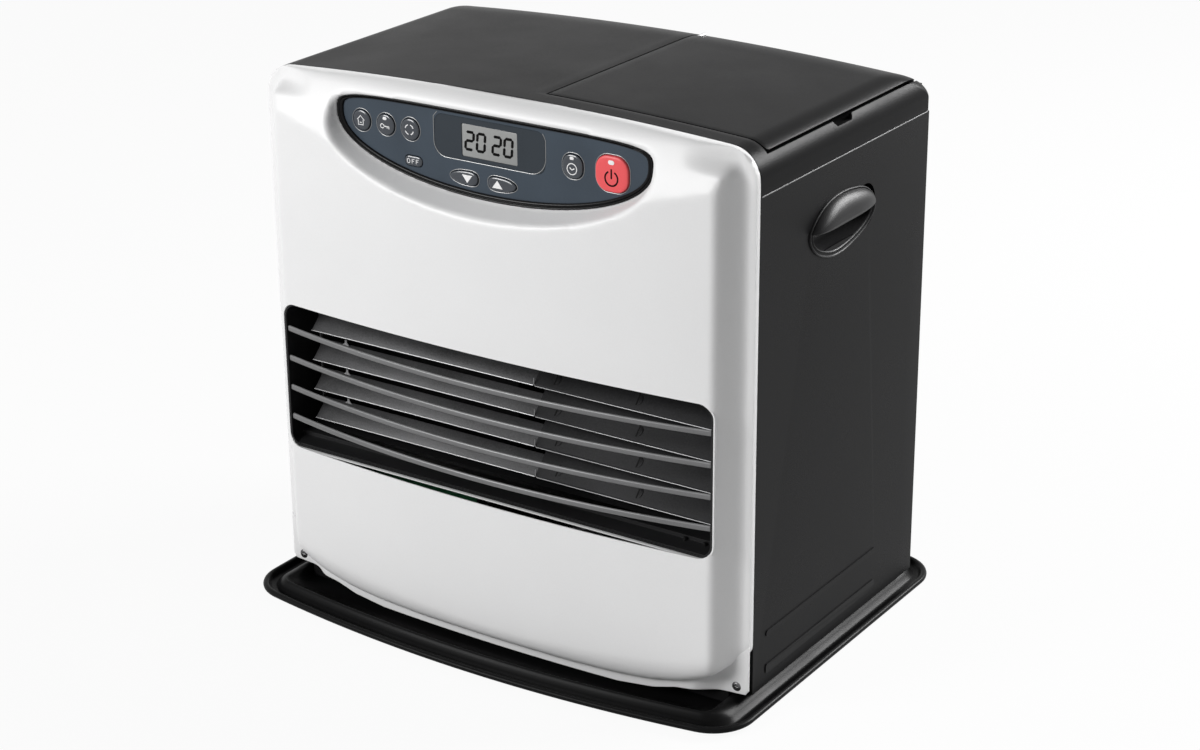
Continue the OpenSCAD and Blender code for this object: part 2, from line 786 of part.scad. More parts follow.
module control_board() {
  color([0.1, 0.35, 0.2]) at_seam() along_y(-board_front, board_t) {
    translate([-lens_a + ctrl_in, lens_z - ctrl_low]) square([2 * (lens_a - ctrl_in), ctrl_h]);
    translate([-ctrl_tail, lens_z - ctrl_low - ctrl_tail_h + 1])
      square([ctrl_tail + boss_x + boss_room, ctrl_tail_h]);
  }
}
module key_switches() {
  color([0.15, 0.15, 0.16]) at_seam() for (k = KEYS) {
    block([k[0] - 3, -board_front - switch_h + 0.6, k[1] - 3], [k[0] + 3, -board_front, k[1] + 3]);
    rod_y([k[0], -board_front - switch_h, k[1]], 1.6, 1);
  }
}

// Outlet

module guard_bar(i) {
  color([0.3, 0.3, 0.31]) at_seam()
    translate([0, bar_r - bar_end - bar_bow, bar_z + i * bar_pitch - bar_h / 2])
      rotate([0, 0, -90 - bar_a]) rotate_extrude(angle = 2 * bar_a, $fn = 720)
        translate([bar_r - bar_t, 0]) square([bar_t, bar_h]);
}
module guard_bar_1() { guard_bar(0); }
module guard_bar_2() { guard_bar(1); }
module guard_bar_3() { guard_bar(2); }
module guard_bar_4() { guard_bar(3); }
module frame_ring(grow) {
  translate([0, outlet_z + outlet_h / 2])
    rounded(2 * (frame_x + grow), outlet_h - 2 * (face_x - frame_x) + 2 * grow, outlet_r + grow);
}
module outlet_frame() {
  color([0.06, 0.06, 0.065]) at_seam() {
    along_y(-bar_end - 1, bar_end + 1 + frame_back) difference() {
      frame_ring(0);
      frame_ring(-frame_t);
    }
    intersection() {
      along_x(-bar_x, 2 * bar_x) polygon([[-bar_end, outlet_z + 3], [-12, outlet_z + 6],
        [-12, outlet_z + 9], [6, outlet_z + 14], [frame_back, outlet_z + 15],
        [frame_back, outlet_z], [-bar_end, outlet_z]]);
      along_y(-bar_end - 1, bar_end + 1 + frame_back) frame_ring(-frame_t / 2);
    }
  }
}
function lip_z(i) = bar_z + i * bar_pitch - vane_drop;
module outlet_vanes() {
  color([0.35, 0.35, 0.36]) at_seam() for (i = [0:bar_count - 1]) {
    along_x(-bar_x, bar_x + blank_x) polygon([[-vane_front, lip_z(i) - 1],
      [-vane_front + 2, lip_z(i) - 1], [-vane_front + vane_d, lip_z(i) + 3],
      [-vane_front + vane_d, lip_z(i) + 3 + thin], [-vane_front, lip_z(i) + thin]]);
    for (j = [0:3]) along_x(-155 + j * 51, 1.5)
      polygon([[-vane_front + 10, lip_z(i) + 2.4], [-vane_front + vane_d, lip_z(i) + 3 + thin],
        [-vane_front + vane_d, lip_z(i) + 10]]);
  }
}
module outlet_blank() {
  color([0.3, 0.3, 0.31]) at_seam() intersection() {
    along_y(-vane_front - 1, vane_front + 2 + frame_back) frame_ring(-frame_t);
    union() {
      for (i = [0:bar_count - 1]) along_x(blank_x, bar_x - blank_x)
        polygon([[-vane_front, lip_z(i) - 1], [-vane_front + 2, lip_z(i) - 1],
          [blank_y, lip_z(i) + 17], [blank_y, lip_z(i) + 19], [blank_y - 1.5, lip_z(i) + 19],
          [-vane_front, lip_z(i) + 1]]);
      block([blank_x, blank_y, outlet_z + 16], [bar_x, blank_y + thin, outlet_z + outlet_h - 4]);
      block([blank_x, blank_y, outlet_z + outlet_h - 5], [bar_x, frame_back, outlet_z + outlet_h - 4]);
    }
  }
}

// Burner

module air_duct() {
  color([0.7, 0.7, 0.7]) at_seam() difference() {
    block([duct_l, duct_front, duct_z], [duct_r, duct_back, duct_z + duct_h]);
    block([duct_l + thin, duct_front + thin, duct_z + thin],
      [duct_r - thin, duct_back + eps, duct_z + duct_h - thin]);
    block([duct_l + thin, duct_front - eps, outlet_z + 15],
      [duct_r - thin, duct_front + 2, outlet_z + outlet_h - 4]);
    block([-burner_x - 46, burner_y - 46, duct_z - eps], [-burner_x + 46, burner_y + 46, duct_z + 2]);
  }
}
module combustion_chamber() {
  color([0.55, 0.53, 0.5]) at_seam() translate([-burner_x, burner_y, duct_z + thin]) {
    difference() {
      block([-chamber_w / 2, -chamber_w / 2, 0], [chamber_w / 2, chamber_w / 2, chamber_h]);
      block([-chamber_w / 2 + thin, -chamber_w / 2 + thin, -eps],
        [chamber_w / 2 - thin, chamber_w / 2 - thin, chamber_h - thin]);
      for (x = [-1, 0, 1]) block([x * 32 - 11, -chamber_w / 2 - eps, chamber_h - 40],
        [x * 32 + 11, -chamber_w / 2 + 2, chamber_h - 14]);
    }
    difference() {
      block([-chamber_w / 2 - 8, -chamber_w / 2 - 8, 0], [chamber_w / 2 + 8, chamber_w / 2 + 8, thin]);
      block([-48, -48, -eps], [48, 48, thin + eps]);
    }
  }
}
module burner_head() {
  color([0.5, 0.5, 0.5]) at_seam() translate([-burner_x, burner_y, pot_top]) difference() {
    cylinder(r = head_r, h = head_h);
    translate([0, 0, -eps]) cylinder(r = head_r - 2, h = head_h - 2 + eps);
    for (a = [0:30:330]) rotate([0, 0, a]) rod_x([0, 0, 14], 3, head_r + 1);
  }
}
module burner_pot() {
  color([0.35, 0.34, 0.33]) at_seam() translate([-burner_x, burner_y, 0]) {
    rod_z([0, 0, pan_floor], 24, pot_z - pan_floor + 1);
    difference() {
      rod_z([0, 0, pot_z], pot_r, pot_h);
      rod_z([0, 0, pot_z + 4], pot_r - 8, pot_h);
      rod_z([0, 0, pot_top - 8], pot_r - 3.5, pot_h);
    }
    difference() {
      rod_z([0, 0, pot_top - 3], pot_r, 3);
      rod_z([0, 0, pot_top - 4], head_r - 2, 6);
    }
  }
}
// A ceramic rod with a wire tip that hangs under the duct's floor
module probe(side, tip) {
  translate([-burner_x, burner_y, duct_z - 7]) rotate([0, 0, side]) {
    rod_x([head_r + 4, 0, 0], 3.5, 30);
    block([head_r + 22, -5, 3], [head_r + 30, 5, 7]);
    rod_x([head_r + 4 - tip, 0, 0], 1, tip + 1);
  }
}
module igniter() { color([0.85, 0.84, 0.8]) at_seam() probe(180, 3); }
module flame_rod() { color([0.8, 0.79, 0.75]) at_seam() probe(270, 2.5); }

// Fans

module fan_bracket() {
  color([0.6, 0.6, 0.62]) at_seam() {
    difference() {
      union() {
        block([-burner_x - bracket_x, motor_back - motor_d - bracket_t, fan_z - bracket_h],
          [-burner_x + bracket_x, motor_back - motor_d, fan_z + bracket_h]);
        for (x = [-1, 1]) block([-burner_x + x * bracket_x - (x > 0 ? bracket_t : 0),
          motor_back - motor_d - bracket_t, fan_z - bracket_h],
          [-burner_x + x * bracket_x + (x > 0 ? 0 : bracket_t), rear_in, fan_z + bracket_h]);
      }
      rod_y([-burner_x, motor_back - motor_d - 3, fan_z], shaft_r + 2, 4);
    }
  }
}
module fan_motor() {
  color([0.45, 0.45, 0.47]) at_seam() difference() {
    union() {
      rod_y([-burner_x, motor_back - motor_d, fan_z], motor_r, motor_d - 4);
      rod_y([-burner_x, motor_back - 4 - eps, fan_z], 9, 4 + eps);
    }
    rod_y([-burner_x, motor_back - motor_d - eps, fan_z], shaft_r + running, motor_d + 2 * eps);
  }
}
module convection_fan() {
  color([0.62, 0.63, 0.65]) at_seam() translate([-burner_x, 0, fan_z]) {
    rod_y([0, motor_back - motor_d + 2, 0], shaft_r, blade_y + blade_d - motor_back + motor_d - 2);
    rod_y([0, blade_y, 0], hub_r, blade_d);
    for (i = [0:blade_count - 1]) rotate([0, i * 360 / blade_count, 0])
      translate([hub_r - 2, blade_y + blade_d / 2, 0]) rotate([32, 0, 0])
        translate([0, -0.8, -11]) cube([fan_r - hub_r, 1.6, 22]);
  }
}
module fan_guard() {
  color([0.08, 0.08, 0.085]) at_seam() translate([-burner_x, 0, fan_z]) {
    along_y(casing_d, guard_y + 3 - casing_d) difference() {
      rounded(guard_w, guard_w, 12);
      rounded(guard_w - 8, guard_w - 8, 8);
    }
    for (x = [-6:6]) block([x * guard_pitch - 1.5, guard_y, -guard_w / 2 + 2],
      [x * guard_pitch + 1.5, guard_y + 3, guard_w / 2 - 2]);
    for (z = [-1, 1]) block([-guard_w / 2 + 2, guard_y + 0.5, z * 45 - 2],
      [guard_w / 2 - 2, guard_y + 3, z * 45 + 2]);
  }
}
module air_filter() {
  color([0.2, 0.2, 0.21]) at_seam() translate([-burner_x, 0, fan_z]) {
    along_y(guard_y + 3, filter_t) difference() {
      rounded(guard_w - 4, guard_w - 4, 10);
      for (x = [0:filter_cells - 1], z = [0:filter_cells - 1])
        translate([x - (filter_cells - 1) / 2, z - (filter_cells - 1) / 2] * filter_pitch)
          square(filter_pitch - filter_bar, center = true);
    }
  }
}
module blower_housing() {
  color([0.5, 0.5, 0.52]) at_seam() translate([blower_x, blower_y, blower_z]) difference() {
    union() {
      rod_x([0, 0, 0], blower_r, blower_d);
      block([0, burner_y + pot_r - blower_y, blower_r - 20], [blower_d, 0, blower_r]);
      block([6, -18, pan_floor - blower_z], [blower_d - 6, 18, -blower_r + 6]);
    }
    rod_x([2, 0, 0], blower_r - 3, blower_d - 4);
    block([2, burner_y + pot_r - blower_y - eps, blower_r - 18], [blower_d - 2, 0, blower_r - 2]);
    rod_x([-eps, 0, 0], 10, 4);
    rod_x([blower_d - 3, 0, 0], 14, 4);
  }
}
module blower_motor() {
  color([0.42, 0.42, 0.44]) at_seam() translate([blower_x, blower_y, blower_z]) difference() {
    rod_x([-36, 0, 0], 24, 36);
    rod_x([-20, 0, 0], shaft_r + running, 21);
  }
}
module blower_impeller() {
  color([0.3, 0.3, 0.32]) at_seam() translate([blower_x, blower_y, blower_z]) {
    rod_x([-16, 0, 0], shaft_r, 24);
    rod_x([5, 0, 0], impeller_r, 2);
    for (i = [0:11]) rotate([i * 30, 0, 0]) block([6, impeller_r - 9, -0.8],
      [impeller_d, impeller_r - 0.5, 0.8]);
    difference() {
      rod_x([impeller_d - 1, 0, 0], impeller_r, 2);
      rod_x([impeller_d - 2, 0, 0], impeller_r - 8, 4);
    }
  }
}

// Electrics

module board_bracket() {
  color([0.6, 0.6, 0.62]) at_seam() {
    block([rack_x, rack_y, pan_floor], [rack_x + rack_w, rack_y + sheet, pan_floor + rack_h]);
    block([rack_x, rack_y, pan_floor], [rack_x + rack_w, rack_y + rack_foot, pan_floor + sheet]);
    for (x = [stud_in, rack_w - stud_in], z = [board_up + stud_r * 2, rack_h - stud_in])
      rod_y([rack_x + x, rack_y - rack_gap, pan_floor + z], stud_r, rack_gap + sheet / 2);
  }
}
module main_board() {
  color([0.1, 0.35, 0.2]) at_seam()
    translate([rack_x + board_in, rack_y - rack_gap, pan_floor + board_up]) {
      block([0, -board_t, 0], [board_w, 0, board_h]);
      block([0.05 * board_w, -board_deep, board_h / 4], [0.2 * board_w, -board_t, 0.75 * board_h]);
      for (i = [0:2]) rod_y([board_w * (0.3 + 0.14 * i), -board_deep, 0.8 * board_h],
        board_h * 0.085, board_deep - board_t);
      block([0.37 * board_w, -0.8 * board_deep, board_h / 8],
        [0.56 * board_w, -board_t, board_h / 2]);
      block([0.65 * board_w, -board_deep, board_h / 4], [0.82 * board_w, -board_t, 0.6 * board_h]);
    }
}
module transformer() {
  color([0.35, 0.3, 0.28]) at_seam() translate([coil_x, coil_y, pan_floor]) {
    block([0, 0, 0], [coil_w, coil_d, coil_h * 0.21]);
    block([coil_w * 0.12, coil_d * 0.09, coil_h * 0.21], [coil_w * 0.88, coil_d * 0.91, coil_h]);
    block([coil_w * 0.23, 0, coil_h * 0.34], [coil_w * 0.77, coil_d, coil_h * 0.87]);
  }
}
module tilt_switch() {
  color([0.8, 0.8, 0.78]) at_seam() translate([tilt_x, tilt_y, pan_floor]) {
    block([0, 0, 0], [tilt_w, tilt_d, tilt_h * 0.12]);
    block([tilt_w * 0.13, tilt_d * 0.15, tilt_h * 0.12], [tilt_w * 0.87, tilt_d * 0.85, tilt_h]);
  }
}

// Fuel

module fixed_tank() {
  color([0.65, 0.65, 0.66]) at_seam() difference() {
    block([tank_x - sump_w / 2, sump_y, pan_floor], [tank_x + sump_w / 2, pan_back - 6, sump_top]);
    block([tank_x - sump_w / 2 + tank_t, sump_y + tank_t, pan_floor + tank_t],
      [tank_x + sump_w / 2 - tank_t, pan_back - 6 - tank_t, sump_top - tank_t]);
    rod_z([tank_x, tank_y, sump_top - 3], cap_r + 3, 5);
  }
}
module tank_well() {
  color([0.55, 0.55, 0.56]) at_seam() difference() {
    block([tank_x - well_w / 2, tank_y - well_d / 2, sump_top],
      [tank_x + well_w / 2, tank_y + well_d / 2, shelf_z - wall]);
    block([tank_x - well_w / 2 + thin, tank_y - well_d / 2 + thin, sump_top + thin],
      [tank_x + well_w / 2 - thin, tank_y + well_d / 2 - thin, shelf_z]);
    rod_z([tank_x, tank_y, sump_top - 1], cap_r + 3, 5);
  }
}
module tank_shell(inset) {
  translate([tank_x, tank_y, tank_z + inset]) linear_extrude(tank_h - 2 * inset)
    rounded(tank_w - 2 * inset, tank_d - 2 * inset, tank_r - inset);
}
module cartridge_tank() {
  color([0.72, 0.72, 0.73]) at_seam() {
    difference() {
      union() {
        tank_shell(0);
        for (y = [-1, 1]) block([tank_x - 50, tank_y + y * 70 - 4, sump_top + thin],
          [tank_x + 50, tank_y + y * 70 + 4, tank_z + 0.5]);
      }
      tank_shell(tank_t);
      rod_z([tank_x, tank_y, tank_z - eps], cap_r - 4, 4);
    }
    difference() {
      rod_z([tank_x, tank_y, tank_z - 8], cap_r - 2.5, 8);
      rod_z([tank_x, tank_y, tank_z - 9], cap_r - 4, 12);
    }
  }
}
module tank_cap() {
  color([0.75, 0.25, 0.15]) at_seam() difference() {
    union() {
      rod_z([tank_x, tank_y, tank_z - 12], cap_r, 12);
      rod_z([tank_x, tank_y, tank_z - 30], 8, 19);
    }
    rod_z([tank_x, tank_y, tank_z - 8], cap_r - 2.45, 9);
    rod_z([tank_x, tank_y, tank_z - 31], 5, 20);
  }
}
module tank_handle() {
  color([0.12, 0.12, 0.13]) at_seam() translate([tank_x, tank_y, tank_top]) {
    for (x = [-1, 1]) block([x * 45 - 4, -8, 0], [x * 45 + 4, 8, 24]);
    block([-49, -8, 20], [49, 8, 28]);
  }
}
module fuel_pump() {
  color([0.5, 0.5, 0.53]) at_seam() {
    rod_z([pump_x, pump_y, sump_top], pump_r, pump_h);
    rod_z([pump_x, pump_y, sump_top + pump_h - 1], pump_r - 5, 9);
    block([pump_x - pump_r - 4, pump_y - 8, sump_top], [pump_x + pump_r + 4, pump_y + 8, sump_top + 3]);
    rod_x([pump_x - pump_r - 4, pump_y, line_z], fuel_line_r + 2, 8);
  }
}
module fuel_line() {
  bend = 12;
  run_end = -burner_x + bend;
  color([0.72, 0.45, 0.3]) at_seam() {
    rod_x([run_end, pump_y, line_z], fuel_line_r, pump_x - pump_r - 4 - run_end);
    translate([run_end, pump_y + bend, line_z]) rotate([0, 0, 180]) rotate_extrude(angle = 90)
      translate([bend, 0]) circle(fuel_line_r);
    rod_y([-burner_x, pump_y + bend, line_z], fuel_line_r, burner_y - pot_r - pump_y - bend);
  }
}

// Small parts

module cord_bush() {
  color([0.1, 0.1, 0.1]) at_seam() {
    rod_y([cord_x, rear_in, cord_z], cord_r - 0.1, sheet);
    rod_y([cord_x, casing_d, cord_z], cord_r + 3, 2);
    difference() {
      rod_y([cord_x, casing_d + 2, cord_z], cord_r, cord_r + 2);
      rod_y([cord_x, casing_d + 3, cord_z], cord_r / 2, cord_r + 2);
    }
  }
}
module casing_screw(x, y, z, turn) {
  translate([x, y, z]) rotate([0, 0, turn]) {
    rod_y([0, -1.8, 0], 4.2, 1.8);
    rod_y([0, 0, 0], 1.9, 7);
  }
}
module casing_screws() {
  color([0.3, 0.3, 0.31]) at_seam() for (x = [-1, 1]) {
    casing_screw(x * (half_w - tab_screw_in), -tab_y, tab_screw_z, 0);
    for (z = rear_screw_z) casing_screw(x * (half_w - rear_screw_in), casing_d, z, 180);
  }
}

floor_tray();
rubber_feet();
base_pan();
left_side_panel();
right_side_panel();
rear_panel();
front_panel();
top_cover();
tank_lid();
lid_hinge_pins();
left_handle();
right_handle();
control_bezel();
control_overlay();
display_frame();
display_window();
eco_key();
lock_key();
clean_key();
hours_key();
down_key();
up_key();
timer_key();
power_key();
control_board();
key_switches();
guard_bar_1();
guard_bar_2();
guard_bar_3();
guard_bar_4();
outlet_frame();
outlet_vanes();
outlet_blank();
air_duct();
combustion_chamber();
burner_head();
burner_pot();
igniter();
flame_rod();
fan_bracket();
fan_motor();
convection_fan();
fan_guard();
air_filter();
blower_housing();
blower_motor();
blower_impeller();
main_board();
board_bracket();
transformer();
fixed_tank();
tank_well();
cartridge_tank();
tank_cap();
tank_handle();
fuel_pump();
fuel_line();
tilt_switch();
cord_bush();
casing_screws();
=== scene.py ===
"""Paraffin heater: the visual model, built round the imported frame.

Pieces are modelled in millimetres, with Y measured from the seam between the front
panel and the side panels, and are brought to the part's own frame when they are done.
"""

from __future__ import annotations

import json
import logging
import math
from collections.abc import Callable
from dataclasses import dataclass, field
from enum import Enum
from functools import cache

import bmesh
import bpy
from mathutils import Matrix, Vector
from mathutils.bvhtree import BVHTree

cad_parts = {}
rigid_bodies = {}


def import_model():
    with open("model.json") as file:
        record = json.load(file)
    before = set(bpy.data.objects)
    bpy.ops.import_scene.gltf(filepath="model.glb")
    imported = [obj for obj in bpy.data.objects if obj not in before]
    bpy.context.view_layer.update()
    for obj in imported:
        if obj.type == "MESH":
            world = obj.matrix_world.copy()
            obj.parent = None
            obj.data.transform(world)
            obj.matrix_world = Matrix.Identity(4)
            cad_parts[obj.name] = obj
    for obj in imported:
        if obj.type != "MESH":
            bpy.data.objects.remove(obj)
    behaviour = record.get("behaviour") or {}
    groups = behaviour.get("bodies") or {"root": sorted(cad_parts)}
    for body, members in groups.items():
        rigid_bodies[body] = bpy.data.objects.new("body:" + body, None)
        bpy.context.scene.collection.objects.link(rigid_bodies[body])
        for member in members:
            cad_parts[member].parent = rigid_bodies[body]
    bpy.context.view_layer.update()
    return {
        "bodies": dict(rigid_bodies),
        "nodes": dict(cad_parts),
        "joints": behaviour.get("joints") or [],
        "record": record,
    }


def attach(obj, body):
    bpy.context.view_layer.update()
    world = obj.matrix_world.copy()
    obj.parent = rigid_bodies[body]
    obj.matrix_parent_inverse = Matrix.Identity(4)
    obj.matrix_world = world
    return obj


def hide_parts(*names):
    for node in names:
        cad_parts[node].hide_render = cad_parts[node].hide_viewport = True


LOG = logging.getLogger("heater")
MM = 0.001
SEAM_Y = -116.0
MERGE_MM = 0.0005
MERGE_M = 0.00001
FLAT_ANGLE = 0.6
Obj = bpy.types.Object
Tree = bpy.types.NodeTree
Point2 = tuple[float, float]
Point3 = tuple[float, float, float]
Station = tuple[float, float, Point2]


class Axis(Enum):
    """The direction in which an outline is drawn out into a prism."""

    X = 0
    Y = 1
    Z = 2


# Geometry helpers


def arc(centre: Point2, radius: float, start: float, end: float, steps: int) -> list[Point2]:
    """Points on a circular arc, both ends included.

    Args:
        centre: Middle of the circle.
        radius: Radius of the circle.
        start: First angle in degrees.
        end: Last angle in degrees.
        steps: Number of segments.

    Returns:
        The points from start to end.
    """
    angles = [math.radians(start + (end - start) * i / steps) for i in range(steps + 1)]
    return [(centre[0] + radius * math.cos(a), centre[1] + radius * math.sin(a)) for a in angles]


def rounded_rect(cx: float, cz: float, w: float, h: float, r: float, steps: int = 8) -> list[Point2]:
    """A closed rounded rectangle.

    Args:
        cx: Middle across.
        cz: Middle up.
        w: Width.
        h: Height.
        r: Corner radius.
        steps: Segments in each corner.

    Returns:
        The outline, anticlockwise.
    """
    points: list[Point2] = []
    for sx, sz, start in ((1, 1, 0), (-1, 1, 90), (-1, -1, 180), (1, -1, 270)):
        corner = (cx + sx * (w / 2 - r), cz + sz * (h / 2 - r))
        points += arc(corner, r, start, start + 90, steps)
    return points


def smoothstep(low: float, high: float, value: float) -> float:
    """A soft step from 0 at low to 1 at high."""
    t = min(max((value - low) / (high - low), 0.0), 1.0)
    return t * t * (3 - 2 * t)


def deselect() -> None:
    """Leaves nothing selected."""
    bpy.ops.object.select_all(action="DESELECT")


def activate(obj: Obj) -> Obj:
    """Selects one object alone and makes it active.

    Args:
        obj: The object.

    Returns:
        The same object.
    """
    deselect()
    obj.select_set(True)
    bpy.context.view_layer.objects.active = obj
    return obj


def edit_all(obj: Obj) -> None:
    """Opens an object in edit mode with its whole mesh selected.

    Args:
        obj: The object.
    """
    activate(obj)
    bpy.ops.object.mode_set(mode="EDIT")
    bpy.ops.mesh.select_all(action="SELECT")


def leave_edit() -> None:
    """Goes back to object mode."""
    bpy.ops.object.mode_set(mode="OBJECT")


def edit_some(obj: Obj, kind: str, wanted: Callable[[object], bool]) -> None:
    """Opens an object in edit mode with only some faces or edges selected.

    Args:
        obj: The piece.
        kind: The word faces or edges.
        wanted: Tells whether a face or an edge is selected.
    """
    edit_all(obj)
    bpy.ops.mesh.select_all(action="DESELECT")
    bm = bmesh.from_edit_mesh(obj.data)
    for item in getattr(bm, kind):
        if wanted(item):
            item.select = True
    bmesh.update_edit_mesh(obj.data)


def recalculate(obj: Obj) -> None:
    """Merges doubles and turns every face outwards.

    Args:
        obj: The piece.
    """
    edit_all(obj)
    bpy.ops.mesh.remove_doubles(threshold=MERGE_MM)
    bpy.ops.mesh.normals_make_consistent(inside=False)
    leave_edit()


def fill_end(obj: Obj, axis: Axis, limit: float) -> None:
    """Fills the open end of a skin that lies below a limit.

    Args:
        obj: The open skin.
        axis: The axis that the limit is on.
        limit: Edges of this end lie lower than it.
    """
    edit_some(obj, "edges", lambda edge: edge.is_boundary and all(v.co[axis.value] < limit for v in edge.verts))
    bpy.ops.mesh.edge_face_add()
    leave_edit()
    recalculate(obj)

def modify(obj: Obj, kind: str, **settings: object) -> None:
    """Adds a modifier and applies it.

    Args:
        obj: The piece.
        kind: Blender's type of modifier.
        settings: Values of the modifier's properties.
    """
    activate(obj)
    modifier = obj.modifiers.new(kind.lower(), kind)
    for key, value in settings.items():
        setattr(modifier, key, value)
    bpy.ops.object.modifier_apply(modifier=modifier.name)


def cut(obj: Obj, tool: Obj, operation: str = "DIFFERENCE") -> None:
    """Cuts one piece with another, which is used up.

    Args:
        obj: The piece that stays.
        tool: The cutting piece.
        operation: DIFFERENCE, INTERSECT or UNION.
    """
    modify(obj, "BOOLEAN", object=tool, operation=operation, solver="EXACT")
    bpy.data.objects.remove(tool)


def place(point: Point2, axis: Axis, depth: float) -> Point3:
    """A point of an outline that is drawn out along an axis."""
    a, b = point
    return {Axis.X: (depth, a, b), Axis.Y: (a, depth, b), Axis.Z: (a, b, depth)}[axis]


def ring_of(points: list[Point3], fill: str) -> Obj:
    """Adds a circle and moves its points to their places.

    Args:
        points: The places.
        fill: NGON for a filled ring, NOTHING for an open one.

    Returns:
        The ring.
    """
    deselect()
    bpy.ops.mesh.primitive_circle_add(vertices=len(points), radius=1, fill_type=fill)
    obj = bpy.context.object
    for vertex, point in zip(obj.data.vertices, points):
        vertex.co = point
    return obj


def prism(outline: list[Point2], axis: Axis, low: float, high: float) -> Obj:
    """Draws a closed outline out into a solid.

    Args:
        outline: Points of the outline, in the two other axes' order.
        axis: Direction of the depth.
        low: Where the solid starts.
        high: Where it ends.

    Returns:
        The solid.
    """
    obj = ring_of([place(point, axis, low) for point in outline], "NGON")
    edit_all(obj)
    move = [0.0, 0.0, 0.0]
    move[axis.value] = high - low
    bpy.ops.mesh.extrude_region_move(TRANSFORM_OT_translate={"value": tuple(move)})
    leave_edit()
    recalculate(obj)
    return obj


def loft(rings: list[list[Point3]], caps: bool = True, closed: bool = False) -> Obj:
    """Extrudes a ring of edges from station to station.

    Args:
        rings: Rings of points, all of one length.
        caps: Whether the first and the last ring are filled.
        closed: Whether the last ring joins the first.

    Returns:
        The skin.
    """
    obj = ring_of(rings[0], "NOTHING")
    edit_all(obj)
    if caps:
        bpy.ops.mesh.edge_face_add()
        bpy.ops.mesh.select_all(action="SELECT")
    order = list(range(len(rings[0])))
    for ring in rings[1:]:
        bm = bmesh.from_edit_mesh(obj.data)
        bm.verts.ensure_lookup_table()
        keys = {tuple(round(c, 4) for c in bm.verts[i].co): n for n, i in enumerate(order)}
        if caps:
            bpy.ops.mesh.extrude_region()
        else:
            bpy.ops.mesh.extrude_edges_indiv()
        bm = bmesh.from_edit_mesh(obj.data)
        bm.verts.index_update()
        order = [0] * len(ring)
        for vertex in bm.verts:
            if vertex.select:
                order[keys[tuple(round(c, 4) for c in vertex.co)]] = vertex.index
        bm.verts.ensure_lookup_table()
        for i, point in zip(order, ring):
            bm.verts[i].co = point
        bmesh.update_edit_mesh(obj.data)
    leave_edit()
    if closed:
        edit_all(obj)
        bpy.ops.mesh.select_all(action="DESELECT")
        bpy.ops.mesh.select_mode(type="EDGE")
        bpy.ops.mesh.select_non_manifold()
        bpy.ops.mesh.bridge_edge_loops()
        leave_edit()
    recalculate(obj)
    return obj


def sheet_grid(columns: int, rows: int, shape: Callable[[float, float], Point3]) -> Obj:
    """Adds a grid and moves each of its points to a surface.

    Args:
        columns: Faces across.
        rows: Faces up.
        shape: A function from (0 to 1, 0 to 1) to a point.

    Returns:
        The open skin.
    """
    deselect()
    bpy.ops.mesh.primitive_grid_add(x_subdivisions=columns, y_subdivisions=rows, size=2)
    obj = bpy.context.object
    for vertex in obj.data.vertices:
        vertex.co = shape((vertex.co.x + 1) / 2, (vertex.co.y + 1) / 2)
    return obj


def tube(points: list[Point3], radius: float, cyclic: bool = True, sides: int = 3) -> Obj:
    """Draws a round line along points.

    Args:
        points: The path.
        radius: Half the line's thickness.
        cyclic: Whether the path closes.
        sides: Blender's bevel resolution.

    Returns:
        The line as a mesh.
    """
    curve = bpy.data.curves.new("line", "CURVE")
    curve.dimensions = "3D"
    curve.bevel_depth, curve.bevel_resolution, curve.use_fill_caps = radius, sides, True
    spline = curve.splines.new("POLY")
    spline.points.add(len(points) - 1)
    for target, point in zip(spline.points, points):
        target.co = (*point, 1)
    spline.use_cyclic_u = cyclic
    activate(link("line", curve))
    bpy.ops.object.convert(target="MESH")
    return bpy.context.object


def join(pieces: list[Obj]) -> Obj:
    """Joins meshes into the first of them.

    Args:
        pieces: The meshes.

    Returns:
        The joined object.
    """
    activate(pieces[0])
    for piece in pieces:
        piece.select_set(True)
    if len(pieces) > 1:
        bpy.ops.object.join()
    return pieces[0]


def link(name: str, data: bpy.types.ID) -> Obj:
    """Adds a new object to the scene.

    Args:
        name: Its name.
        data: What it shows.

    Returns:
        The object.
    """
    obj = bpy.data.objects.new(name, data)
    bpy.context.scene.collection.objects.link(obj)
    return obj


def copies(obj: Obj, moves: tuple[Point3, ...]) -> list[Obj]:
    """Copies a piece, each copy with its own mesh.

    Args:
        obj: The model piece, which stays.
        moves: How far each copy lies from it.

    Returns:
        The copies.
    """
    made = []
    for move in moves:
        twin = link(obj.name, obj.data.copy())
        for vertex in twin.data.vertices:
            vertex.co += Vector(move)
        made.append(twin)
    return made


def mirrored(obj: Obj) -> Obj:
    """A copy of a piece on the other side of the middle.

    Args:
        obj: The piece, which stays.

    Returns:
        The copy.
    """
    twin = copies(obj, ((0, 0, 0),))[0]
    for vertex in twin.data.vertices:
        vertex.co.x = -vertex.co.x
    recalculate(twin)
    return twin


def smooth(obj: Obj, angle: float = 32) -> None:
    """Shades a piece smooth up to an angle in degrees."""
    activate(obj)
    bpy.ops.object.shade_smooth_by_angle(angle=math.radians(angle))


def bevel(obj: Obj, width: float, segments: int = 2, angle: float = 35) -> None:
    """Rounds the edges of a piece that are sharper than an angle."""
    modify(obj, "BEVEL", width=width, segments=segments, limit_method="ANGLE",
           angle_limit=math.radians(angle), use_clamp_overlap=True)


def from_seam(obj: Obj) -> None:
    """Brings a piece from millimetres behind the seam to the part's frame."""
    for vertex in obj.data.vertices:
        vertex.co = Vector((vertex.co.x, vertex.co.y + SEAM_Y, vertex.co.z)) * MM


# Finishes


DUST_COLOUR = (0.45, 0.43, 0.4, 1)
WORN_SHARE, WORN_LIFT = 1.6, 0.06
GLOSS_SPREAD = 0.05
COAT_ROUGHNESS = 0.08


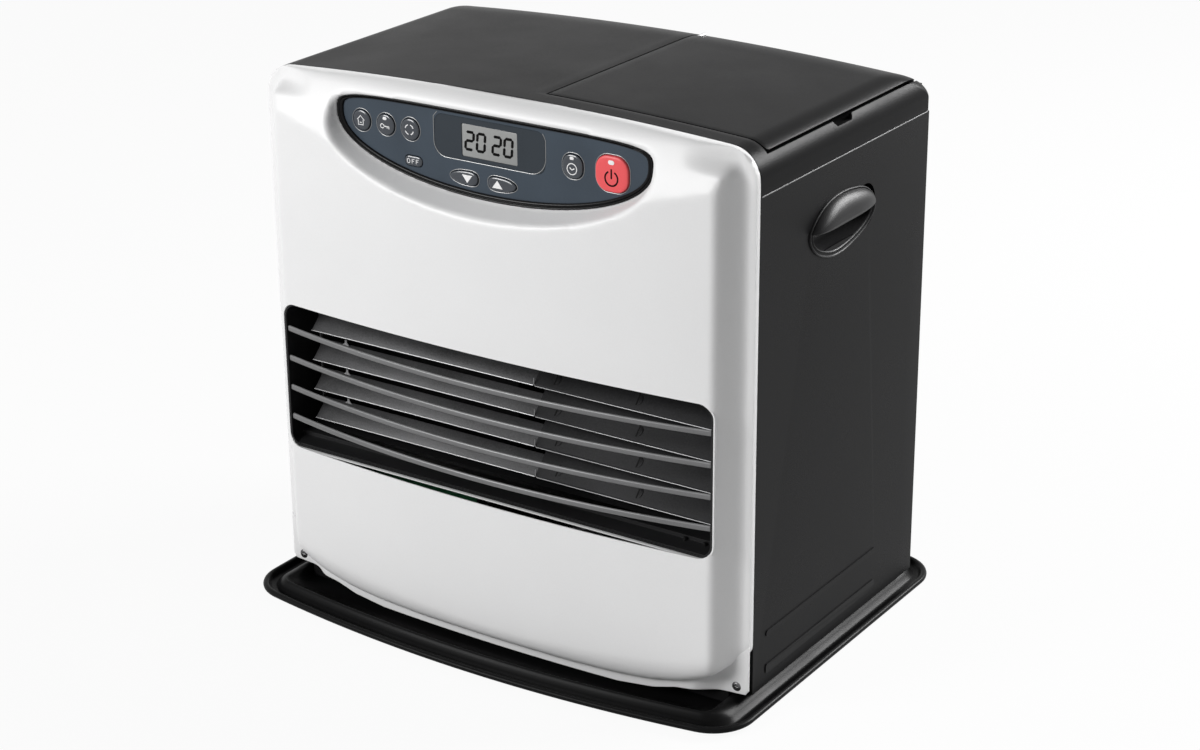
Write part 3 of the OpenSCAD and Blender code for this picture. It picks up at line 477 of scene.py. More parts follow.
def connect(tree: Tree, node: bpy.types.Node, inputs: dict[str | int, object]) -> None:
    """Links or sets the inputs of a node.

    Args:
        tree: The node's tree.
        node: The node.
        inputs: By name or number, the socket that feeds an input, or its value.
    """
    for key, value in inputs.items():
        if isinstance(value, bpy.types.NodeSocket):
            tree.links.new(value, node.inputs[key])
        else:
            node.inputs[key].default_value = value


def add_node(tree: Tree, kind: str, inputs: dict[str | int, object] | None = None,
             **settings: object) -> bpy.types.bpy_prop_collection:
    """Adds a shader node.

    Args:
        tree: The tree that it joins.
        kind: Its type, without the word ShaderNode.
        inputs: What feeds it, as for connect.
        settings: Values of its properties.

    Returns:
        The node's outputs.
    """
    node = tree.nodes.new("ShaderNode" + kind)
    for key, value in settings.items():
        setattr(node, key, value)
    connect(tree, node, inputs or {})
    return node.outputs


@dataclass(frozen=True)
class Finish:
    """A surface finish.

    Sizes of grain are waves in a metre, and its height is in metres.
    """

    name: str
    slot: str
    colour: tuple[float, float, float]
    roughness: float
    metallic: float = 0.0
    coat: float = 0.0
    grain: float = 900.0
    height: float = 0.00003
    mottle: float = 0.06
    dust: float = 0.04
    wear: float = 0.0
    painted_glow: float = 0.0
    # Emission of a finish that is no lamp: a painted glow.
    brushed: float = 1.0
    specular: float = 0.5

    def shade(self, share: float, lift: float = 0.0) -> tuple[float, ...]:
        """The colour made lighter or darker."""
        return (*[min(c * share + lift, 1) for c in self.colour], 1)

    @cache
    def material(self) -> bpy.types.Material:
        """The finish as a material, made once.

        Returns:
            The material.
        """
        material = bpy.data.materials.new(self.name)
        material.use_nodes = True
        tree = material.node_tree
        grain = add_node(tree, "Group", {"Scale": self.grain, "Stretch": self.brushed}, node_tree=grain_group())
        dust = add_node(tree, "Group", {"Amount": self.dust}, node_tree=dust_group())
        colour = add_node(tree, "Mix", {"Factor": grain["Tone"], "A": self.shade(1 - self.mottle),
                                        "B": self.shade(1 + self.mottle)}, data_type="RGBA")["Result"]
        if self.wear:
            wear = add_node(tree, "Group", {"Amount": self.wear}, node_tree=wear_group())
            worn = self.shade(WORN_SHARE, WORN_LIFT)
            colour = add_node(tree, "Mix", {"Factor": wear["Mask"], "A": colour, "B": worn},
                              data_type="RGBA")["Result"]
        film = add_node(tree, "Mix", {"Factor": dust["Mask"], "A": colour, "B": DUST_COLOUR}, data_type="RGBA")
        rough = add_node(tree, "MapRange", {"Value": grain["Tone"], "To Min": max(self.roughness - GLOSS_SPREAD, 0.03),
                                            "To Max": min(self.roughness + GLOSS_SPREAD, 1)})
        bump = add_node(tree, "Bump", {"Height": grain["Height"], "Distance": self.height, "Strength": 1.0})
        surface = {"Base Color": film["Result"], "Roughness": rough["Result"], "Normal": bump["Normal"],
                   "Metallic": self.metallic, "Specular IOR Level": self.specular, "Coat Weight": self.coat,
                   "Coat Roughness": COAT_ROUGHNESS}
        # Emission on a part that is no lamp: a painted glow that lifts its colour.
        if self.painted_glow:
            surface |= {"Emission Strength": self.painted_glow, "Emission Color": (*self.colour, 1)}
        connect(tree, tree.nodes["Principled BSDF"], surface)
        return material


def open_group(name: str, inputs: dict[str, float], outputs: list[str]) -> tuple:
    """Starts a shader node group.

    Args:
        name: Name of the group.
        inputs: Names and default values of its inputs.
        outputs: Names of its outputs.

    Returns:
        The tree, the sockets of its inputs and its output node.
    """
    tree = bpy.data.node_groups.new(name, "ShaderNodeTree")
    for key, value in inputs.items():
        tree.interface.new_socket(key, in_out="INPUT", socket_type="NodeSocketFloat").default_value = value
    for key in outputs:
        tree.interface.new_socket(key, in_out="OUTPUT", socket_type="NodeSocketFloat")
    return tree, tree.nodes.new("NodeGroupInput").outputs, tree.nodes.new("NodeGroupOutput")


@cache
def grain_group() -> Tree:
    """Fine grain: a height for the bump and a tone for colour and gloss.

    Returns:
        The group.
    """
    tree, source, result = open_group("moulded_grain", {"Scale": 900, "Stretch": 1}, ["Height", "Tone"])
    spot = add_node(tree, "TexCoord")["Object"]
    along = add_node(tree, "CombineXYZ", {"X": 1, "Y": 1, "Z": source["Stretch"]})
    drawn = add_node(tree, "VectorMath", {0: spot, 1: along["Vector"]}, operation="MULTIPLY")
    fine = add_node(tree, "TexNoise", {"Vector": drawn["Vector"], "Scale": source["Scale"], "Detail": 3})
    broad = add_node(tree, "TexNoise", {"Vector": spot, "Scale": 14, "Detail": 4})
    blend = add_node(tree, "Mix", {"Factor": 0.5, "A": fine["Fac"], "B": broad["Fac"]})
    spread = add_node(tree, "MapRange", {"Value": blend["Result"], "From Min": 0.35, "From Max": 0.65})
    connect(tree, result, {"Height": fine["Fac"], "Tone": spread["Result"]})
    return tree


@cache
def dust_group() -> Tree:
    """A thin film of dust on what faces up.

    Returns:
        The group.
    """
    tree, source, result = open_group("dust_film", {"Amount": 0.05}, ["Mask"])
    split = add_node(tree, "SeparateXYZ", {"Vector": add_node(tree, "NewGeometry")["Normal"]})
    facing = add_node(tree, "MapRange", {"Value": split["Z"], "From Min": 0.4})
    noise = add_node(tree, "TexNoise", {"Vector": add_node(tree, "TexCoord")["Object"], "Scale": 40, "Detail": 6})
    patches = add_node(tree, "Math", {0: facing["Result"], 1: noise["Fac"]}, operation="MULTIPLY")
    mask = add_node(tree, "Math", {0: patches["Value"], 1: source["Amount"]}, operation="MULTIPLY")
    connect(tree, result, {"Mask": mask["Value"]})
    return tree


@cache
def wear_group() -> Tree:
    """Lighter paint along sharp edges.

    Returns:
        The group.
    """
    tree, source, result = open_group("edge_wear", {"Amount": 0.3}, ["Mask"])
    surface = add_node(tree, "NewGeometry")
    edge = add_node(tree, "MapRange", {"Value": surface["Pointiness"], "From Min": 0.53, "From Max": 0.62})
    mask = add_node(tree, "Math", {0: edge["Result"], 1: source["Amount"]}, operation="MULTIPLY")
    connect(tree, result, {"Mask": mask["Value"]})
    return tree


class Finishes:
    """Every finish of the heater."""

    WHITE = Finish("white_powder_coat", "white_panel", (0.78, 0.78, 0.782), 0.42, height=0.00002, mottle=0.012,
                   dust=0.01, grain=700)
    PANEL = Finish("black_powder_coat", "black_panel", (0.005, 0.005, 0.0053), 0.3, height=0.00004, mottle=0.1,
                   dust=0.003, wear=0.12, specular=0.045)
    TOP = Finish("black_moulded_top", "black_plastic", (0.005, 0.005, 0.0053), 0.36, height=0.00006, mottle=0.12,
                 dust=0.003, grain=1100, wear=0.1, specular=0.034)
    GRIP = Finish("black_moulded_handle", "black_plastic", (0.014, 0.014, 0.0145), 0.38, height=0.00005, mottle=0.1,
                  dust=0.004, grain=1100, wear=0.15, specular=0.12)
    # Much lighter than the black panels: a painted highlight along the seam with the cover.
    SEAM = Finish("seam_painted_highlight", "black_panel", (0.11, 0.11, 0.112), 0.35, height=0.000004, mottle=0.1, dust=0.0)
    TRAY = Finish("black_tray_enamel", "black_enamel", (0.004, 0.004, 0.0042), 0.34, height=0.000006,
                  mottle=0.1, dust=0.002, wear=0.1, specular=0.055)
    BEZEL = Finish("bezel_gloss", "bezel_plastic", (0.003, 0.003, 0.0033), 0.14, height=0.000004, dust=0.0,
                   specular=0.12)
    OVERLAY = Finish("slate_overlay", "overlay_film", (0.038, 0.052, 0.069), 0.36, metallic=0.3, height=0.00001,
                     mottle=0.2, dust=0.0, grain=1500, specular=0.3)
    SURROUND = Finish("display_surround_film", "display_surround", (0.012, 0.019, 0.027), 0.3, height=0.000004,
                      mottle=0.12, dust=0.0, grain=1500, specular=0.35)
    GLASS = Finish("display_segments_back", "display_glass", (0.26, 0.265, 0.26), 0.22, coat=0.3, height=0.000002,
                   mottle=0.03, dust=0.0)
    SEGMENT = Finish("display_segment", "black_component", (0.002, 0.002, 0.002), 0.5, height=0.000002, dust=0.0,
                     specular=0.05)
    KEY = Finish("key_navy", "key_plastic", (0.012, 0.018, 0.028), 0.2, coat=0.5, height=0.000004, mottle=0.08,
                 dust=0.0)
    # The cap glows faintly though it is no lamp: painted glow.
    POWER = Finish("power_coral", "power_plastic", (0.74, 0.085, 0.093), 0.34, height=0.000006, mottle=0.04, dust=0.0,
                   painted_glow=0.07, specular=0.35)
    SILVER = Finish("silver_outline", "zinc_steel", (0.27, 0.27, 0.27), 0.35, metallic=0.6, height=0.000002, dust=0.0)
    PRINT = Finish("white_print", "ceramic", (0.82, 0.82, 0.82), 0.5, height=0.000002, mottle=0.02, dust=0.0)
    BAR = Finish("bar_enamel", "dark_steel", (0.14, 0.14, 0.142), 0.38, metallic=0.3, height=0.00002, mottle=0.1,
                 dust=0.0, wear=0.3)
    VANE = Finish("vane_enamel", "dark_steel", (0.06, 0.06, 0.062), 0.42, metallic=0.4, height=0.00008, mottle=0.5,
                  dust=0.0, wear=0.3)
    # A darker copy of the vanes' enamel: painted shade on the recessed closed plates and their tabs.
    SHADED_PLATE = Finish("plate_enamel_painted_shade", "dark_steel", (0.017, 0.017, 0.018), 0.42, metallic=0.2, height=0.00006, mottle=0.4,
                   dust=0.0, wear=0.2, specular=0.2)
    # Much lighter than the vanes' enamel: a painted highlight on the louvre lips and gussets.
    LIP_HIGHLIGHT = Finish("lip_painted_highlight", "dark_steel", (0.3, 0.3, 0.305), 0.38, metallic=0.5, height=0.00002, mottle=0.1,
                 dust=0.0)
    DARK = Finish("outlet_black", "dark_steel", (0.01, 0.01, 0.0105), 0.4, mottle=0.15, dust=0.0, specular=0.2)
    # Soot black for the inner parts; for the louvre's slots and holes, which are black shapes and not openings, it is
    # painted shade.
    SOOT_AND_HOLE_SHADE = Finish("inner_black", "dark_steel", (0.008, 0.008, 0.008), 0.6, height=0.00003, mottle=0.2, dust=0.0,
                  specular=0.1)
    ZINC = Finish("zinc_sheet", "zinc_steel", (0.55, 0.55, 0.56), 0.38, metallic=0.9, height=0.00003, mottle=0.15,
                  grain=260, brushed=0.1)
    HEAT = Finish("heat_tinted_steel", "heat_steel", (0.13, 0.11, 0.1), 0.5, metallic=0.8, height=0.00005, mottle=0.3,
                  grain=300)
    CERAMIC = Finish("white_ceramic", "ceramic", (0.78, 0.77, 0.72), 0.45, height=0.00002)
    MOTOR = Finish("motor_steel", "motor_metal", (0.32, 0.32, 0.33), 0.4, metallic=0.85, mottle=0.12, grain=400,
                   brushed=0.15)
    ALUMINIUM = Finish("pressed_aluminium", "fan_aluminium", (0.6, 0.6, 0.62), 0.36, metallic=0.95, mottle=0.08,
                       grain=350, brushed=0.2)
    BOARD = Finish("board_lacquer", "circuit_board", (0.03, 0.16, 0.07), 0.35, coat=0.2, mottle=0.2)
    PART = Finish("black_part", "black_component", (0.02, 0.02, 0.02), 0.5, height=0.00005, mottle=0.1)
    RED = Finish("red_cap", "cap_plastic", (0.45, 0.05, 0.03), 0.4, mottle=0.08)
    COPPER = Finish("copper_tube", "copper_line", (0.65, 0.32, 0.2), 0.3, metallic=1.0, mottle=0.12)
    SCREW = Finish("blackened_screw", "screw_steel", (0.1, 0.1, 0.102), 0.28, metallic=0.85, height=0.000006,
                   mottle=0.15, dust=0.0, wear=0.5)
    RUBBER = Finish("foot_rubber", "foot_rubber", (0.02, 0.02, 0.02), 0.8, height=0.00008, mottle=0.1)


def dress(obj: Obj, finish: Finish) -> None:
    """Gives an object one finish all over.

    Args:
        obj: The object.
        finish: The finish.
    """
    material = finish.material()
    if not obj.material_slots:
        obj.data.materials.append(material)
    for slot in obj.material_slots:
        slot.material = material


def deliver(obj: Obj, name: str, finish: Finish, nodes: tuple[str, ...] = (), body: str = "casing",
            angle: float = 32, copied: bool = False) -> None:
    """Ends a piece: places, shades and dresses it, and hangs it on its body.

    Args:
        obj: The piece.
        name: Its name.
        finish: Its finish.
        nodes: The CAD nodes that it stands for.
        body: The body that it rides on.
        angle: Shading angle in degrees.
        copied: Whether it comes from the CAD, in the part's frame and with large flat faces.
    """
    obj.name = obj.data.name = name
    if not copied:
        from_seam(obj)
    smooth(obj, angle)
    if copied:
        modify(obj, "WEIGHTED_NORMAL", mode="FACE_AREA", weight=90, keep_sharp=True)
    dress(obj, finish)
    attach(obj, body)
    for node in nodes:
        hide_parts(node)
    LOG.info("%s rides on %s with %d faces", name, body, len(obj.data.polygons))


def refined(frame: dict, node: str, finish: Finish, width: float, angle: float = 32) -> None:
    """Shows a copy of a CAD node with merged faces and softened edges.

    Args:
        node: Name of the node.
        finish: Its finish.
        width: Width of the softened edges in millimetres, or 0 for none.
        angle: Shading angle in degrees.
    """
    obj = link(node, frame["nodes"][node].data.copy())
    edit_all(obj)
    bpy.ops.mesh.remove_doubles(threshold=MERGE_M)
    bpy.ops.mesh.dissolve_limited(angle_limit=math.radians(FLAT_ANGLE))
    leave_edit()
    if width:
        bevel(obj, width * MM)
    deliver(obj, node + "_skin", finish, (node,), angle=angle, copied=True)


# The casing's shapes, shared by several pieces


@dataclass
class Outline:
    """The casing's crowned front outline."""

    half_w: float = 230.0
    total_h: float = 467.0
    crown_drop: float = 6.5
    corner_r: float = 25.0
    crown_x: float = field(init=False)
    crown_r: float = field(init=False)
    crown_c: float = field(init=False)
    crown_a: float = field(init=False)
    corner_z: float = field(init=False)

    def __post_init__(self) -> None:
        """Works out the arcs."""
        self.crown_x = self.half_w - self.corner_r
        self.crown_r = (self.crown_x**2 + self.crown_drop**2) / (2 * self.crown_drop)
        self.crown_c = self.total_h - self.crown_r
        self.crown_a = math.degrees(math.asin(self.crown_x / (self.crown_r - self.corner_r)))
        self.corner_z = self.crown_c + (self.crown_r - self.corner_r) * math.cos(math.radians(self.crown_a))

    def crown(self, x: float) -> float:
        """Height of the crown at a place across."""
        return self.crown_c + math.sqrt(self.crown_r**2 - x * x)

    def upper(self, low: float) -> list[Point2]:
        """The outline from the lower right, over the top, to the lower left.

        Args:
            low: Height at which both sides end.

        Returns:
            The open outline.
        """
        return [
            (self.half_w, low),
            *arc((self.crown_x, self.corner_z), self.corner_r, 0, 90 - self.crown_a, 16),
            *arc((0, self.crown_c), self.crown_r, 90 - self.crown_a, 90 + self.crown_a, 60)[1:-1],
            *arc((-self.crown_x, self.corner_z), self.corner_r, 90 + self.crown_a, 180, 16),
            (-self.half_w, low),
        ]


OUTLINE = Outline()


@dataclass
class Lens:
    """The control panel's lens outline."""

    half: float = 148.0
    low: float = 50.0
    up: float = 18.0
    level: float = 435.0
    power: float = 0.4
    samples: int = 2000

    def points(self, grow: float, count: int = 160) -> list[Point2]:
        """The closed outline, evenly spaced.

        Args:
            grow: How far it is grown.
            count: Number of points.

        Returns:
            The points, anticlockwise from the right end.
        """
        raw: list[Point2] = []
        for i in range(self.samples):
            t = 2 * math.pi * i / self.samples
            c, s = math.cos(t), math.sin(t)
            if s < 0:
                raw.append(((self.half + grow) * c, self.level + (self.low + grow) * s))
            else:
                raw.append(((self.half + grow) * math.copysign(abs(c) ** self.power, c),
                            self.level + (self.up + grow / 2) * s**self.power))
        return resample(raw, count)


def resample(points: list[Point2], count: int, closed: bool = True) -> list[Point2]:
    """Spaces points evenly along a line.

    Args:
        points: The line.
        count: Number of points wanted.
        closed: Whether the line closes.

    Returns:
        The new points.
    """
    line = points + points[:1] if closed else points
    run = [0.0]
    for a, b in zip(line, line[1:]):
        run.append(run[-1] + math.dist(a, b))
    made: list[Point2] = []
    k = 0
    total = count if closed else count - 1
    for i in range(count):
        goal = run[-1] * i / total
        while k < len(run) - 2 and run[k + 1] < goal:
            k += 1
        span = run[k + 1] - run[k] or 1.0
        t = (goal - run[k]) / span
        made.append((line[k][0] + (line[k + 1][0] - line[k][0]) * t, line[k][1] + (line[k + 1][1] - line[k][1]) * t))
    return made


def rounded_path(points: list[Point2], count: int) -> list[Point2]:
    """A closed line with its corners rounded off.

    Args:
        points: The corners.
        count: Number of points wanted.

    Returns:
        The smooth line, evenly spaced.
    """
    for _ in range(4):
        made: list[Point2] = []
        for (ax, az), (bx, bz) in zip(points, points[1:] + points[:1]):
            made += [(ax * 0.75 + bx * 0.25, az * 0.75 + bz * 0.25), (ax * 0.25 + bx * 0.75, az * 0.25 + bz * 0.75)]
        points = made
    return resample(points, count)


def between(table: tuple[Point2, ...], value: float) -> float:
    """Reads a table of (place, height) with straight lines between its points.

    Args:
        table: The table.
        value: The place.

    Returns:
        The height.
    """
    for (a, low), (b, high) in zip(table, table[1:]):
        if value <= b:
            return low + (high - low) * max(value - a, 0) / (b - a)
    return table[-1][1]


LENS = Lens()


@dataclass
class FrontPanel:
    """The bowed white front with its scoop, outlet, rolled lower edge and skirt."""

    face_x: float = 207.0
    face_depth: float = 26.0
    face_bow: float = 11.0
    flange_y: float = 4.2
    flange_w: float = 8.5
    wall_w: float = 17.5
    lean_z: float = 365.0
    lean_r: float = 184.0
    brow_r: float = 20.0
    foot_z: float = 12.5
    foot_rise: float = 44.0
    crease_z: float = 30.0
    crease_rise: float = 22.0
    roll_d: float = 15.0
    skirt_feet: tuple[Point2, ...] = ((0, 6), (118, 6), (150, 9), (170, 14), (185, 15.5), (205, 16), (225, 17.5),
                                      (230, 17.5))
    sheet: float = 1.2
    voxel: float = 2.2
    outlet_w: float = 414.0
    outlet_z: float = 137.0
    outlet_h: float = 128.0
    outlet_r: float = 12.0
    cut_y: Point2 = (-60.0, 6.0)
    corner_from: Point2 = (-34.0, -4.0)
    corner_to: Point2 = (14.0, 16.0)

    def face_y(self, x: float) -> float:
        """The bowed field's place at a place across.

        Args:
            x: The place across.

        Returns:
            The place in depth.
        """
        front = self.face_depth + self.face_bow
        r = (self.face_x**2 + self.face_bow**2) / (2 * self.face_bow)
        return r - front - math.sqrt(r * r - min(abs(x), self.face_x) ** 2)

    def foot(self, x: float) -> float:
        """Height of the face's lower edge at a place across."""
        return self.foot_z + self.foot_rise * (abs(x) / OUTLINE.half_w) ** 6

    def crease(self, x: float) -> float:
        """Height at which the face starts to roll under."""
        return self.crease_z + self.crease_rise * (x / self.face_x) ** 2 + 6 * smoothstep(190, 230, abs(x))

    def plan(self, back: float) -> list[Point2]:
        """The panel seen from above.

        Args:
            back: Where it ends at the rear.

        Returns:
            The outline, as (X, Y).
        """
        half = OUTLINE.half_w
        foot, rise = half - self.flange_w, self.face_depth + 0.4 - self.flange_y
        side = [(half, back), (half, 1.2 - self.flange_y), (half - 1.2, -self.flange_y), (foot, -self.flange_y)]
        for i in range(1, 17):
            t = i / 16
            side.append((foot - self.wall_w * t, -self.flange_y - rise * (0.5 - 0.5 * math.cos(math.pi * t))))
        field_x = [self.face_x - 6 - 2 * (self.face_x - 6) * i / 60 for i in range(61)]
        return side + [(x, self.face_y(x)) for x in field_x] + [(-x, y) for x, y in reversed(side)]

    def profile(self, back: float) -> list[Point2]:
        """The panel seen from the side, as (Y, Z).

        Args:
            back: Where it ends at the rear.

        Returns:
            The outline.
        """
        front = self.face_depth + self.face_bow + 1
        top = OUTLINE.total_h
        lean_a = math.degrees(math.asin((top - self.brow_r - self.lean_z) / (self.lean_r - self.brow_r)))
        lean_y = self.lean_r - front
        brow_y = lean_y - (self.lean_r - self.brow_r) * math.cos(math.radians(lean_a))
        end = 90 + math.degrees(math.asin(brow_y / self.brow_r))
        return [(back, -5), (-front, -5), *arc((lean_y, self.lean_z), self.lean_r, 180, 180 - lean_a, 24),
                *arc((brow_y, top - self.brow_r), self.brow_r, 180 - lean_a, end, 14)[1:], (back, top)]

    def scoop(self) -> Obj:
        """The tool that dishes the face round the lens.

        Returns:
            The tool.
        """
        rings = [[(x, y, z) for x, z in LENS.points(grow, 120)]
                 for y, grow in ((-12.9, 0.4), (-15.2, 1.0), (-20, 2.8), (-28, 5.6), (-42, 10.0))]
        return loft(rings)

    def body(self) -> Obj:
        """The skin of the face with softened creases.

        Returns:
            The open skin.
        """
        back, half = 8.0, OUTLINE.half_w
        solid = prism(self.plan(back), Axis.Z, -4, 470)
        cut(solid, prism(self.profile(back), Axis.X, -240, 240), "INTERSECT")
        arch = [(x, self.foot(x)) for x in [-half + 2 * half * i / 80 for i in range(81)]]
        cut(solid, prism(OUTLINE.upper(100) + arch, Axis.Y, -45, 20), "INTERSECT")
        cut(solid, self.scoop())
        modify(solid, "REMESH", mode="VOXEL", voxel_size=self.voxel, adaptivity=0.0)
        modify(solid, "SMOOTH", factor=0.5, iterations=6)
        self.corners(solid)
        self.roll(solid)
        modify(solid, "SMOOTH", factor=0.5, iterations=3)
        edit_all(solid)
        bpy.ops.mesh.bisect(plane_co=(0, -0.02, 0), plane_no=(0, 1, 0), clear_outer=True, use_fill=False)
        leave_edit()
        return solid

    def roll(self, solid: Obj) -> None:
        """Rolls the face under along its lower arc.

        Args:
            solid: The face.
        """
        for vertex in solid.data.vertices:
            x, y, z = vertex.co
            flat = smoothstep(0, 3, abs(x) - OUTLINE.half_w + self.flange_w)
            if y < -1.5 and abs(x) < 229.2:
                vertex.co.y = y = y - (self.flange_y + y) * flat
            start = self.crease(x)
            t = min((start - z) / (start - self.foot(x)), 1.0)
            if y > -2 or t <= 0:
                continue
            reach = self.roll_d - 5 * smoothstep(150, 230, abs(x))
            back = reach * (1 - math.sqrt(max(1 - t * t * 0.97, 0)))
            vertex.co.y = min(y + back, max(y, -3.4))

    def corners(self, solid: Obj) -> None:
        """Carries the flange round the two upper corners.

        Args:
            solid: The face.
        """
        (from_x, from_z), (to_x, to_z) = self.corner_from, self.corner_to
        for vertex in solid.data.vertices:
            x, y, z = vertex.co
            dx, dz = abs(x) - OUTLINE.crown_x, z - OUTLINE.corner_z
            if dx < from_x or dz < from_z or y > -self.flange_y:
                continue
            inside = OUTLINE.corner_r - math.hypot(max(dx, 0), max(dz, 0))
            t = min(max((inside - self.flange_w) / self.wall_w, 0), 1)
            limit = -self.flange_y - 30 * (0.5 - 0.5 * math.cos(math.pi * t))
            share = smoothstep(from_x, to_x, dx) * smoothstep(from_z, to_z, dz)
            vertex.co.y = y + (max(y, limit) - y) * share

    def skirt_y(self, x: float) -> float:
        """Place of the skirt under the roll."""
        inner = self.face_y(x) + self.roll_d - 1.0
        return inner + (-3.0 - inner) * smoothstep(182, 207, abs(x))

    def skirt(self) -> Obj:
        """The flange under the roll, which ends in the corner tabs.

        Returns:
            The flange.
        """

        def shape(s: float, t: float) -> Point3:
            """A point of the flange.

            Args:
                s: Share across, from the left.
                t: Share of the height, from the foot.

            Returns:
                The point.
            """
            x = -229 + 458 * s
            side = max(abs(x) - 225, 0)
            foot = between(self.skirt_feet, abs(x)) + 4 - math.sqrt(max(16 - side * side, 0))
            top = self.foot(x) + 5
            return x, self.skirt_y(x), foot + (top - foot) * t

        obj = sheet_grid(160, 10, shape)
        modify(obj, "SOLIDIFY", thickness=self.sheet, offset=1)
        recalculate(obj)
        bevel(obj, 0.35, 2, 50)
        return obj

    def hole(self, grow: float = 0.0) -> list[Point2]:
        """The outlet's outline, grown on all sides together by an amount."""
        return rounded_rect(0, self.outlet_z + self.outlet_h / 2, self.outlet_w + grow, self.outlet_h + grow,
                            self.outlet_r + grow / 2, 10)

    def bead(self, face: Obj) -> Obj:
        """The bead where the outlet's edge is rolled, laid on the face.

        Args:
            face: The face, still without its thickness.

        Returns:
            The bead.
        """
        radius, inward, missed = 0.85, 0.75, -26.0
        skin = BVHTree.FromObject(face, bpy.context.evaluated_depsgraph_get())
        points: list[Point3] = []
        for x, z in resample(self.hole(1.3), 260):
            hit = skin.ray_cast(Vector((x, -80, z)), Vector((0, 1, 0)))[0]
            points.append((x, (hit.y if hit else missed) + inward, z))
        return tube(points, radius)

    def lip(self) -> Obj:
        """The edge that turns back into the outlet.

        Returns:
            The edge.
        """
        rings = []
        for grow, deep in ((0.5, False), (0.5, True), (2.6, True), (2.6, False)):
            rings.append([(x, -19.5 if deep else self.face_y(x) + 0.8, z) for x, z in self.hole(grow)])
        return loft(rings, caps=False, closed=True)

    def make(self) -> None:
        """Builds the panel."""
        face = self.body()
        bead = self.bead(face)
        modify(face, "SOLIDIFY", thickness=self.sheet, offset=-1)
        cut(face, prism(self.hole(), Axis.Y, *self.cut_y))
        cut(face, prism(LENS.points(0.3), Axis.Y, *self.cut_y))
        deliver(join([face, bead, self.lip()]), "front_panel_shell", Finishes.WHITE, ("front_panel",), angle=40)
        deliver(self.skirt(), "front_panel_skirt", Finishes.WHITE)


